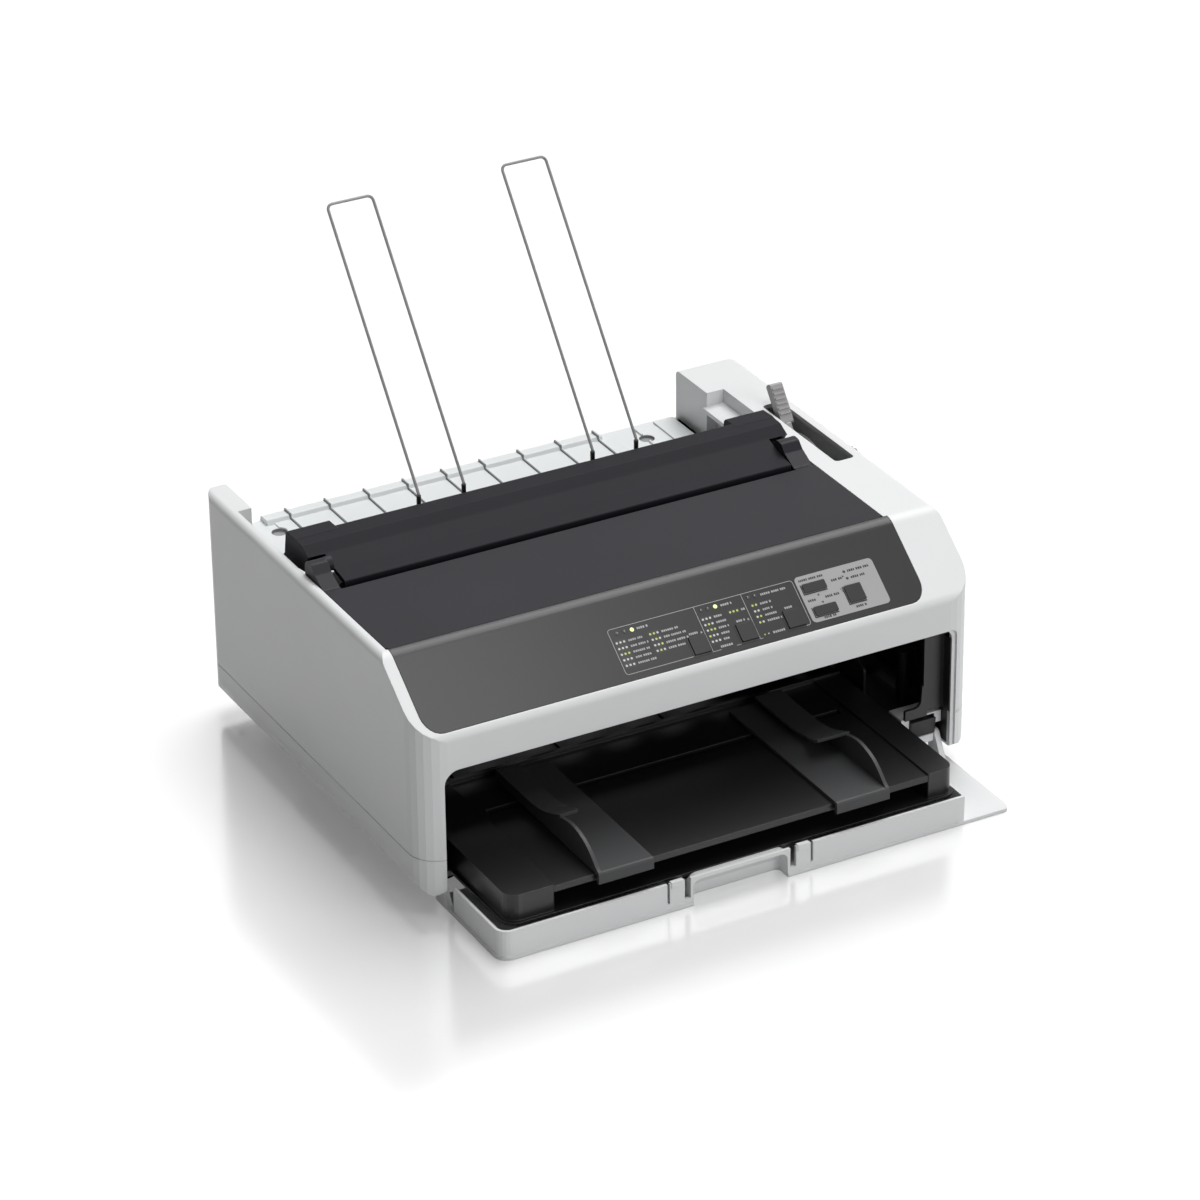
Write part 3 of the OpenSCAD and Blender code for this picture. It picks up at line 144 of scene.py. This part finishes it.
def ribShade(tree, coord, colour):  # painted shade: the paper ribs on the rear deck are coloured as grey lines by position
    axes = addNode(tree, "ShaderNodeSeparateXYZ")
    tree.links.new(coord.outputs["Object"], axes.inputs[0])
    shift = addNode(tree, "ShaderNodeMath", operation="SUBTRACT")
    tree.links.new(axes.outputs["X"], shift.inputs[0])
    shift.inputs[1].default_value = (case["midX"] + deck["firstRib"]) / 1000
    steps = addNode(tree, "ShaderNodeMath", operation="DIVIDE")
    tree.links.new(shift.outputs[0], steps.inputs[0])
    steps.inputs[1].default_value = deck["ribStep"] / 1000
    part = addNode(tree, "ShaderNodeMath", operation="FRACT")
    tree.links.new(steps.outputs[0], part.inputs[0])
    mask = compare(tree, part.outputs[0], deck["ribWide"] / deck["ribStep"], "LESS_THAN")
    mask = both(tree, mask, compare(tree, steps.outputs[0], 0.0))
    mask = both(tree, mask, compare(tree, steps.outputs[0], deck["ribSteps"], "LESS_THAN"))
    colour = mixColour(tree, mask, colour, deck["ribShadeColour"])
    sunk = compare(tree, axes.outputs["Z"], (deck["top"] - deck["holeLip"]) / 1000, "LESS_THAN")
    for x in deck["holes"]:  # painted shade in the thumb holes
        spot = addNode(tree, "ShaderNodeVectorMath", operation="DISTANCE")
        tree.links.new(coord.outputs["Object"], spot.inputs[0])
        holeD = case["depth"] - deck["holeFromBack"]
        spot.inputs[1].default_value = place(x, holeD, deck["top"] - 2)
        near = compare(tree, spot.outputs["Value"], deck["holeR"] / 1000, "LESS_THAN")
        colour = mixColour(tree, both(tree, near, sunk), colour, deck["holeShadeColour"])
    return colour


def paintedEdgeHighlight(tree, bevel, colour, look):  # painted highlight: edges are coloured paler than the faces beside them
    flat = addNode(tree, "ShaderNodeNewGeometry")
    turn = addNode(tree, "ShaderNodeVectorMath", operation="DOT_PRODUCT")
    tree.links.new(bevel.outputs["Normal"], turn.inputs[0])
    tree.links.new(flat.outputs["Normal"], turn.inputs[1])
    ramp = addNode(tree, "ShaderNodeMapRange", interpolation_type="SMOOTHSTEP")
    ramp.inputs["From Min"].default_value = 0.985
    ramp.inputs["From Max"].default_value = 0.90
    ramp.inputs["To Max"].default_value = look.get("edgeHighlight", 0.25)
    tree.links.new(turn.outputs["Value"], ramp.inputs["Value"])
    return mixColour(tree, ramp.outputs["Result"], colour, look.get("highlightTint", look["colour"]))


def moulded(name, look):  # satin to glossy moulded surfaces, also used for the metals
    mat, tree, shader = newMaterial(name)
    link = tree.links.new
    coord = addNode(tree, "ShaderNodeTexCoord")
    cloud = addNode(tree, "ShaderNodeTexNoise", Scale=look.get("cloudScale", 14.0), Detail=3.0)
    link(coord.outputs["Object"], cloud.inputs["Vector"])
    tint = addNode(tree, "ShaderNodeValToRGB")
    c, v = look["colour"], look.get("vary", 0.03)
    tint.color_ramp.elements[0].position = 0.3
    tint.color_ramp.elements[1].position = 0.7
    tint.color_ramp.elements[0].color = [k * (1 - v) for k in c] + [1]
    tint.color_ramp.elements[1].color = [k * (1 + v) for k in c] + [1]
    link(cloud.outputs["Fac"], tint.inputs["Fac"])
    colourOut = tint.outputs["Color"]
    bevel = softEdge(tree, look["edge"]) if look.get("edge") else None
    # painted highlight along the bevelled edges
    if bevel:
        colourOut = paintedEdgeHighlight(tree, bevel, colourOut, look)
    if "inside" in look:
        colourOut = look["inside"](tree, coord, colourOut)
    link(colourOut, shader.inputs["Base Color"])
    grain = addNode(tree, "ShaderNodeTexNoise", Scale=look.get("grainScale", 2600.0), Detail=2.0)
    link(coord.outputs["Object"], grain.inputs["Vector"])
    rough = addNode(tree, "ShaderNodeMapRange")
    rough.inputs["To Min"].default_value = look["rough"] - look.get("roughVary", 0.04)
    rough.inputs["To Max"].default_value = look["rough"] + look.get("roughVary", 0.04)
    link(grain.outputs["Fac"], rough.inputs["Value"])
    link(rough.outputs["Result"], shader.inputs["Roughness"])
    bump = addNode(tree, "ShaderNodeBump", Strength=look.get("bump", 0.08))
    bump.inputs["Distance"].default_value = look.get("bumpDepth", 0.0001)
    link(grain.outputs["Fac"], bump.inputs["Height"])
    if bevel:
        link(bevel.outputs["Normal"], bump.inputs["Normal"])
    link(bump.outputs["Normal"], shader.inputs["Normal"])
    shader.inputs["Specular IOR Level"].default_value = look.get("specular", 0.5)
    shader.inputs["Metallic"].default_value = look.get("metallic", 0.0)
    return mat


finishes = {
    "case_shell": {"colour": (0.79, 0.80, 0.805), "rough": 0.42, "vary": 0.012, "edge": 0.0006,
                   "bump": 0.05, "edgeHighlight": 0.3, "highlightTint": (0.85, 0.86, 0.865)},
    "dark_cover": {"colour": (0.014, 0.013, 0.017), "rough": 0.5, "vary": 0.08, "bump": 0.16,
                   "grainScale": 1500.0, "specular": 0.07, "edge": 0.0007, "edgeHighlight": 0.6,
                   "highlightTint": (0.13, 0.126, 0.14)},
    "smoked_cover": {"colour": (0.027, 0.0255, 0.031), "rough": 0.30, "vary": 0.05, "bump": 0.02,
                     "specular": 0.08, "edge": 0.0006, "edgeHighlight": 0.6,
                     "highlightTint": (0.12, 0.118, 0.13)},
    "panel_grey": {"colour": (0.027, 0.027, 0.027), "rough": 0.30, "vary": 0.03, "bump": 0.02,
                   "specular": 0.30, "edge": 0.0005, "edgeHighlight": 0.3, "highlightTint": (0.08, 0.08, 0.08)},
    "lamp_lens": {"colour": (0.05, 0.06, 0.045), "rough": 0.2, "vary": 0.1, "edge": 0.0002},
    "board_green": {"colour": (0.03, 0.16, 0.07), "rough": 0.4, "vary": 0.12, "cloudScale": 90.0,
                    "edge": 0.0003},
    "pin_steel": {"colour": (0.24, 0.245, 0.25), "rough": 0.32, "metallic": 1.0, "vary": 0.05},
    "support_wire": {"colour": (0.20, 0.20, 0.205), "rough": 0.32, "metallic": 0.35, "vary": 0.05},
    "black_plastic": {"colour": (0.0095, 0.0095, 0.0105), "rough": 0.34, "vary": 0.08,
                      "bump": 0.07, "specular": 0.4, "edge": 0.0006, "edgeHighlight": 0.5,
                      "highlightTint": (0.05, 0.05, 0.052)},
    "guide_grey": {"colour": (0.046, 0.047, 0.049), "rough": 0.46, "vary": 0.04, "bump": 0.07,
                   "specular": 0.28, "edge": 0.0004, "edgeHighlight": 0.6, "highlightTint": (0.15, 0.15, 0.155)},
    "lever_grey": {"colour": (0.36, 0.35, 0.355), "rough": 0.4, "vary": 0.04, "edge": 0.0005},
    "frame_steel": {"colour": (0.016, 0.016, 0.017), "rough": 0.45, "metallic": 0.5, "vary": 0.1,
                    "edge": 0.0004},
    "platen_rubber": {"colour": (0.010, 0.010, 0.011), "rough": 0.7, "specular": 0.2,
                      "vary": 0.1, "bump": 0.15},
    "gear_nylon": {"colour": (0.62, 0.60, 0.53), "rough": 0.45, "vary": 0.03, "edge": 0.0002},
    "brass": {"colour": (0.62, 0.44, 0.17), "rough": 0.28, "metallic": 1.0, "vary": 0.05},
    "motor_metal": {"colour": (0.03, 0.03, 0.032), "rough": 0.4, "metallic": 0.6, "vary": 0.1,
                    "edge": 0.0004},
    "head_metal": {"colour": (0.25, 0.26, 0.28), "rough": 0.4, "metallic": 0.8, "vary": 0.06,
                   "edge": 0.0003},
}
slotMats = {}
for slotName, look in finishes.items():
    slotMats[slotName] = moulded(slotName, look)
caseWithInnerShade = moulded("case_shell_painted_inner_shade", {**finishes["case_shell"], "inside": paintedInteriorShade})
deckMat = moulded("deck_shell", {**finishes["case_shell"], "colour": (0.795, 0.82, 0.825),
                                 "inside": ribShade})
ownMats = {"upper_case": caseWithInnerShade, "lower_case": caseWithInnerShade, "rear_paper_guide": deckMat}
for row in frame["record"]["subparts"]:
    node = cadNodes[row["node"]]
    mat = ownMats.get(row["node"], slotMats[row["material_slot"]])
    if not node.material_slots:
        node.data.materials.append(mat)
    for holder in node.material_slots:
        holder.material = mat
print("finishes set on the moulded parts")


def meshPiece(name, verts, faces, mat, body, smooth=False):
    mesh = bpy.data.meshes.new(name)
    mesh.from_pydata([tuple(v) for v in verts], [], faces)
    mesh.validate()
    mesh.update()
    piece = bpy.data.objects.new(name, mesh)
    bpy.context.scene.collection.objects.link(piece)
    mesh.materials.append(mat)
    if smooth:
        for poly in mesh.polygons:
            poly.use_smooth = True
    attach(piece, body)
    return piece


tick = {"short": 0.8, "long": 1.3, "low": 0.75, "gap": 0.4, "groupGap": 1.2, "group": (3, 6)}


class Sheet:  # gathers thin raised outlines that lie on the control slope
    def __init__(self, base, height):
        self.base, self.height = base, height
        self.verts, self.faces = [], []

    def outline(self, points):
        turn = sum(a[0] * b[1] - b[0] * a[1] for a, b in zip(points, points[1:] + points[:1]))
        points = points[::-1] if turn > 0 else points
        n, start = len(points), len(self.verts)
        for lift in (self.base, self.base + self.height):
            self.verts += [onSlope(x, s, lift) for x, s in points]
        self.faces.append([start + n + i for i in range(n)])
        self.faces.append([start + n - 1 - i for i in range(n)])
        for i in range(n):
            j = (i + 1) % n
            self.faces.append([start + i, start + j, start + n + j, start + n + i])

    def bar(self, x0, x1, s0, s1):
        self.outline([(x0, s1), (x1, s1), (x1, s0), (x0, s0)])

    def rounded(self, x0, x1, s0, s1, r, steps=6):
        points = []
        for cx, cs, start in ((x1 - r, s1 - r, 0), (x0 + r, s1 - r, 90),
                              (x0 + r, s0 + r, 180), (x1 - r, s0 + r, 270)):
            for k in range(steps + 1):
                a = math.radians(start + 90 * k / steps)
                points.append((cx + r * math.cos(a), cs + r * math.sin(a)))
        self.outline(points[::-1])

    def disc(self, x, s, r, steps=16):
        self.outline([(x + r * math.cos(-2 * math.pi * k / steps),
                       s + r * math.sin(-2 * math.pi * k / steps)) for k in range(steps)])

    def stroke(self, points, w):  # a thin line through the points
        for (x0, s0), (x1, s1) in zip(points, points[1:]):
            span = math.hypot(x1 - x0, s1 - s0)
            nx, ns = (s0 - s1) / span * w / 2, (x1 - x0) / span * w / 2
            self.outline([(x0 + nx, s0 + ns), (x0 - nx, s0 - ns), (x1 - nx, s1 - ns),
                          (x1 + nx, s1 + ns)])

    def tickRow(self, x, length, s, high):  # a row of short plain ticks
        end, left = x + length, random.randint(*tick["group"])
        while x < end - tick["short"]:
            step = min(random.uniform(tick["short"], tick["long"]), end - x)
            self.bar(x, x + step, s - high / 2 * random.uniform(tick["low"], 1.0), s + high / 2)
            left -= 1
            x += step + (tick["gap"] if left else tick["groupGap"])
            left = left or random.randint(*tick["group"])

    def make(self, name, mat, slotName, body="chassis"):
        return meshPiece(name, self.verts, self.faces, mat, body)


panelPrint = {
    "box": (-53.9, 83.8, 24.2, 57.2), "boxR": 2.0, "dividers": (9.9, 45.2), "lineWidth": 0.36,
    "plate": (85.5, 144.8, 23.2, 57.2, 3.0),
    "squareKeys": [(3.1, 50.6), (38.4, 50.4), (73.8, 50.2), (122.8, 44.3)], "squareSide": 12.4,
    "wideKeys": [(97.2, 32.6), (98.0, 49.9)], "wideSize": (17.0, 6.4),
    # dot columns, then row by row: W a white dot, Y a yellow green one
    "chips": [((-51.1, -48.4, -45.7),
               {34.5: "WWW", 38.7: "WWW", 42.9: "WYY", 47.0: "WWW", 51.1: "WWW"}),
              ((-26.5, -23.8, -21.15), {34.5: "YYW", 38.6: "WYW", 42.7: "WWY", 46.8: "WYW"}),
              ((12.6, 15.3, 17.9),
               {34.4: "WWW", 38.5: "WYW", 42.6: "WYY", 46.8: "YWW", 50.9: "WWW"}),
              ((32.9, 35.5, 38.2), {34.4: "YYY"}),
              ((49.9, 52.5), {34.1: "YY", 38.4: "WW", 42.5: "WY", 46.7: "YW"})],
    "chipRim": 1.6, "chipHalf": 1.8, "chipR": 0.4, "dotR": 0.78,
    "smallDots": {"Y": (49.4, 55.6), "W": (52.3, 55.6)}, "smallDotR": 0.5,
    # rows of ticks beside the dots: start, rows, shortest and longest
    "tickRows": [(-42.6, (34.5, 38.7, 42.9, 47.0, 51.1), (9, 15)),
                 (-18.2, (34.5, 38.6, 42.7, 46.8), (10, 17)),
                 (20.8, (34.4, 38.5, 42.6, 46.8, 50.9), (6, 9)),
                 (55.6, (34.1, 38.4, 42.5, 46.7), (7, 13))],
    "ticks": [(-33.6, 9.0, 28.0), (28.6, 9.0, 28.0), (58.6, 19.0, 28.0), (41.2, 2.6, 34.4),
              (-1.0, 6.5, 41.7), (34.3, 6.5, 41.7), (70.6, 5.4, 41.6), (16.5, 10.5, 55.6),
              (55.6, 10.0, 55.6)],
    "arrows": [(7.8, 42.2), (43.0, 42.0)], "arrowHalf": 0.8,
    "brackets": [[(3.9, 55.6), (3.9, 57.6), (16.0, 57.6)],
                 [(27.4, 57.6), (38.0, 57.6), (38.0, 55.8)],
                 [(39.4, 55.8), (39.4, 57.6), (47.4, 57.6)],
                 [(66.4, 57.2), (74.2, 57.2), (74.2, 55.4)]],
    "bracketWide": 0.3,
    "unlit": [(-47.7, 28.2), (-42.4, 28.1), (14.3, 28.0), (19.2, 28.0), (49.5, 28.0), (54.5, 28.0)],
    "lit": [(-37.2, 28.05), (24.7, 27.8)],
    "plateLamps": [(122.0, 28.0), (122.3, 33.0)],
}
inkMat = moulded("panel_ink", {"colour": (0.40, 0.40, 0.40), "rough": 0.5, "vary": 0.05})
plateMat = moulded("label_plate", {"colour": (0.34, 0.34, 0.342), "rough": 0.42, "vary": 0.03})
chipAndShadowMat = moulded("chip_and_shadow_black", {"colour": (0.010, 0.010, 0.010), "rough": 0.3, "vary": 0.1})
dotMats = {
    "W": moulded("pale_dots", {"colour": (0.60, 0.61, 0.58), "rough": 0.5, "vary": 0.08}),
    "Y": moulded("green_dots", {"colour": (0.50, 0.62, 0.13), "rough": 0.5, "vary": 0.08}),
}
litMat, litTree, litShader = newMaterial("lamp_lit")
litRamp = addNode(litTree, "ShaderNodeLayerWeight", Blend=0.4)
litTint = addNode(litTree, "ShaderNodeValToRGB")
litTint.color_ramp.elements[0].color = (0.80, 0.92, 0.40, 1)
litTint.color_ramp.elements[1].color = (0.50, 0.66, 0.14, 1)
litTree.links.new(litRamp.outputs["Facing"], litTint.inputs["Fac"])
litTree.links.new(litTint.outputs["Color"], litShader.inputs["Base Color"])
litTree.links.new(litTint.outputs["Color"], litShader.inputs["Emission Color"])
litShader.inputs["Emission Strength"].default_value = 0.75
litShader.inputs["Roughness"].default_value = 0.25



def boxLine():  # the thin line round the keys, open below them
    x0, x1, s0, s1 = panelPrint["box"]
    r = panelPrint["boxR"]
    points = [(3.0, s1)]
    for cx, cs, start in ((x0 + r, s1 - r, 90), (x0 + r, s0 + r, 180),
                          (x1 - r, s0 + r, 270), (x1 - r, s1 - r, 0)):
        for k in range(6):
            a = math.radians(start + 18 * k)
            points.append((cx + r * math.cos(a), cs + r * math.sin(a)))
    return points + [(76.0, s1)]


ink = Sheet(0.0, 0.06)
ink.stroke(boxLine(), panelPrint["lineWidth"])
half = panelPrint["lineWidth"] / 2
for x in panelPrint["dividers"]:
    ink.bar(x - half, x + half, panelPrint["box"][2], panelPrint["box"][3])
chips, dots = Sheet(0.0, 0.08), {"W": Sheet(0.08, 0.05), "Y": Sheet(0.08, 0.05)}
rim, high = panelPrint["chipRim"], panelPrint["chipHalf"]
for columns, rows in panelPrint["chips"]:
    for s, colours in rows.items():
        chips.rounded(columns[0] - rim, columns[-1] + rim, s - high, s + high,
                      panelPrint["chipR"], 3)
        for x, key in zip(columns, colours):
            dots[key].disc(x, s, panelPrint["dotR"], 12)
for key, (x, s) in panelPrint["smallDots"].items():
    dots[key].disc(x, s, panelPrint["smallDotR"], 10)

random.seed(7)
for x, rows, span in panelPrint["tickRows"]:
    for s in rows:
        ink.tickRow(x, random.uniform(*span), s, 1.5)
for x, length, s in panelPrint["ticks"]:
    ink.tickRow(x, length, s, 1.6)
h = panelPrint["arrowHalf"]
for x, s in panelPrint["arrows"]:
    ink.outline([(x - h, s + h), (x + h, s + h), (x, s - h)])
for line in panelPrint["brackets"]:
    ink.stroke(line, panelPrint["bracketWide"])
ink.make("panel_ink", inkMat, "panel_grey")
chips.make("panel_chips", chipAndShadowMat, "panel_grey")
dots["W"].make("pale_dots", dotMats["W"], "lamp_lens")
dots["Y"].make("green_dots", dotMats["Y"], "lamp_lens")

plateMarks = {
    "ticks": [(88.0, 19.0, 26.3), (110.5, 8.0, 31.7), (124.5, 17.5, 28.0), (125.0, 11.0, 33.0),
              (88.5, 6.5, 41.5), (101.6, 10.4, 41.5), (94.6, 9.4, 55.2), (119.5, 8.0, 53.8)],
    "tickHigh": 1.7,
    "arrows": [[(96.6, 39.4), (98.4, 39.4), (97.5, 37.8)],
               [(97.4, 43.9), (99.2, 43.9), (98.3, 45.5)],
               [(119.2, 30.2), (120.6, 31.0), (119.2, 31.8)]],
    "bentLine": [(114.0, 38.5), (115.4, 42.0), (116.8, 42.0)], "lineWide": 0.3,
}
plate = Sheet(0.0, 0.22)
plate.rounded(*panelPrint["plate"])
plate.make("label_plate", plateMat, "panel_grey")
marks = Sheet(0.22, 0.05)
for x, length, s in plateMarks["ticks"]:
    marks.tickRow(x, length, s, plateMarks["tickHigh"])
for points in plateMarks["arrows"]:
    marks.outline(points)
marks.stroke(plateMarks["bentLine"], plateMarks["lineWide"])
marks.make("plate_marks", chipAndShadowMat, "panel_grey")

keyShadow = {"from": 0.35, "to": 1.2}  # painted shadow: dark strips at the left of and below each key, where the key casts its shadow
keyShadows = Sheet(0.0, 0.3)
side = panelPrint["squareSide"]
keySizes = [(x, s, side, side) for x, s in panelPrint["squareKeys"]]
keySizes += [(x, s, *panelPrint["wideSize"]) for x, s in panelPrint["wideKeys"]]
for x, s, wide, high in keySizes:
    left, low = x - wide / 2, s + high / 2
    keyShadows.bar(left - keyShadow["to"], left - keyShadow["from"], s - high / 2, low + keyShadow["to"])
    keyShadows.bar(left - keyShadow["from"], x + wide / 2, low + keyShadow["from"], low + keyShadow["to"])
keyShadows.make("painted_key_shadows", chipAndShadowMat, "panel_grey")


def dome(x, s, r, height, lift, rings=4, steps=18):
    verts, faces = [], []
    for i in range(rings + 1):
        a = math.pi / 2 * i / rings
        rr, hh = r * math.cos(a), lift + height * math.sin(a)
        if i == rings:
            verts.append(onSlope(x, s, hh))
            break
        verts += [onSlope(x + rr * math.cos(2 * math.pi * k / steps),
                          s - rr * math.sin(2 * math.pi * k / steps), hh) for k in range(steps)]
    for i in range(rings - 1):
        for k in range(steps):
            a, b = i * steps + k, i * steps + (k + 1) % steps
            faces.append([a, b, b + steps, a + steps])
    top = len(verts) - 1
    for k in range(steps):
        faces.append([(rings - 1) * steps + k, (rings - 1) * steps + (k + 1) % steps, top])
    faces.append([k for k in range(steps)][::-1])
    return verts, faces


def domes(name, spots, r, height, mat):
    verts, faces = [], []
    for x, s in spots:
        v, f = dome(x, s, r, height, 0.1)
        faces += [[i + len(verts) for i in face] for face in f]
        verts += v
    return meshPiece(name, verts, faces, mat, "chassis", smooth=True)


domes("lit_lamps", panelPrint["lit"], 1.5, 0.5, litMat)
domes("dark_lamps", panelPrint["unlit"], 1.3, 0.35, slotMats["lamp_lens"])
domes("plate_lamps", panelPrint["plateLamps"], 1.1, 0.45, chipAndShadowMat)
print("control panel dressed")


def backdropRays(tree):  # what the camera, mirrors and glass see of the studio
    rays = addNode(tree, "ShaderNodeLightPath")
    seen = rays.outputs["Is Camera Ray"]
    for kind in ("Is Glossy Ray", "Is Transmission Ray"):
        most = addNode(tree, "ShaderNodeMath", operation="MAXIMUM")
        tree.links.new(seen, most.inputs[0])
        tree.links.new(rays.outputs[kind], most.inputs[1])
        seen = most.outputs[0]
    return seen


def makeStage():
    stage = {"half": 12.0, "seen": 0.90, "spread": 0.50,
             "rough": 0.17, "mirror": 0.42, "lift": 0.17, "below": 0.0002}
    mesh = bpy.data.meshes.new("floor")
    h = stage["half"]
    mesh.from_pydata([(-h, -h, 0), (h, -h, 0), (h, h, 0), (-h, h, 0)], [], [(0, 1, 2, 3)])
    floor = bpy.data.objects.new("floor", mesh)
    floor.location.z = -stage["below"]
    bpy.context.scene.collection.objects.link(floor)
    mat, tree, shader = newMaterial("pale_floor")
    seen = backdropRays(tree)
    tone = addNode(tree, "ShaderNodeMix", data_type="RGBA")
    tone.inputs[6].default_value = (stage["spread"], stage["spread"], stage["spread"], 1)
    tone.inputs[7].default_value = (stage["seen"], stage["seen"], stage["seen"], 1)
    tree.links.new(seen, tone.inputs["Factor"])
    tree.links.new(tone.outputs[2], shader.inputs["Base Color"])
    shader.inputs["Roughness"].default_value = 0.8
    shader.inputs["Specular IOR Level"].default_value = 0.0
    shine = addNode(tree, "ShaderNodeBsdfGlossy", Roughness=stage["rough"])
    shine.inputs["Color"].default_value = (1, 1, 1, 1)
    polish = addNode(tree, "ShaderNodeMixShader")
    amount = addNode(tree, "ShaderNodeMath", operation="MULTIPLY")
    tree.links.new(seen, amount.inputs[0])
    amount.inputs[1].default_value = stage["mirror"]
    tree.links.new(amount.outputs[0], polish.inputs[0])
    tree.links.new(shader.outputs[0], polish.inputs[1])
    tree.links.new(shine.outputs[0], polish.inputs[2])
    glow = addNode(tree, "ShaderNodeEmission", Strength=stage["lift"])
    glow.inputs["Color"].default_value = (1, 1, 1, 1)
    dark = addNode(tree, "ShaderNodeEmission", Strength=0.0)
    pick = addNode(tree, "ShaderNodeMixShader")
    tree.links.new(seen, pick.inputs[0])
    tree.links.new(dark.outputs[0], pick.inputs[1])
    tree.links.new(glow.outputs[0], pick.inputs[2])
    total = addNode(tree, "ShaderNodeAddShader")
    tree.links.new(polish.outputs[0], total.inputs[0])
    tree.links.new(pick.outputs[0], total.inputs[1])
    tree.links.new(total.outputs[0], tree.nodes["Material Output"].inputs["Surface"])
    mesh.materials.append(mat)


def makeWorld():
    air = {"fill": 0.10, "seen": 1.0}
    world = bpy.data.worlds.new("studio")
    bpy.context.scene.world = world
    world.use_nodes = True
    tree = world.node_tree
    back = tree.nodes["Background"]
    back.inputs["Color"].default_value = (1, 1, 1, 1)
    level = addNode(tree, "ShaderNodeMapRange")
    level.inputs["To Min"].default_value = air["fill"]
    level.inputs["To Max"].default_value = air["seen"]
    tree.links.new(backdropRays(tree), level.inputs["Value"])
    tree.links.new(level.outputs["Result"], back.inputs["Strength"])


def aim(lamp, toward, spot):
    lamp.rotation_mode = "QUATERNION"
    lamp.rotation_quaternion = (-Vector(toward)).to_track_quat("-Z", "Y")
    lamp.location = spot


def addLamp(name, kind, toward, spot, **values):
    data = bpy.data.lights.new(name, kind)
    for key, value in values.items():
        setattr(data, key, value)
    lamp = bpy.data.objects.new(name, data)
    bpy.context.scene.collection.objects.link(lamp)
    aim(lamp, toward, spot)


makeStage()
makeWorld()
addLamp("overhead", "SUN", (0.34, 0.30, 0.89), (1, 1, 3), energy=2.30, angle=math.radians(42))
addLamp("front", "SUN", (0.20, -0.93, 0.30), (0.5, -3, 1), energy=0.92, angle=math.radians(30))
addLamp("nearSoftbox", "AREA", (0.30, -0.40, 1.15), (0.20, -0.50, 1.25), energy=2.9,
        shape="SQUARE", size=0.40)

viewpoint = {
    "spot": (-1.409947, -2.581344, 1.695006), "lens": 150.36, "sensor": 36.0,
    "right": (0.87643, -0.48142, -0.01006), "up": (0.23585, 0.41096, 0.88062),
    "back": (-0.41982, -0.77417, 0.47372),
}
cameraData = bpy.data.cameras.new("camera")
cameraData.lens = viewpoint["lens"]
cameraData.sensor_width = viewpoint["sensor"]
cameraData.clip_end = 60
camera = bpy.data.objects.new("camera", cameraData)
bpy.context.scene.collection.objects.link(camera)
turn = Matrix((viewpoint["right"], viewpoint["up"], viewpoint["back"])).transposed()
camera.matrix_world = Matrix.Translation(Vector(viewpoint["spot"])) @ turn.to_4x4()
bpy.context.scene.camera = camera
bpy.context.scene.view_settings.view_transform = "Standard"
print("stage, light and camera set")

bpy.context.view_layer.update()
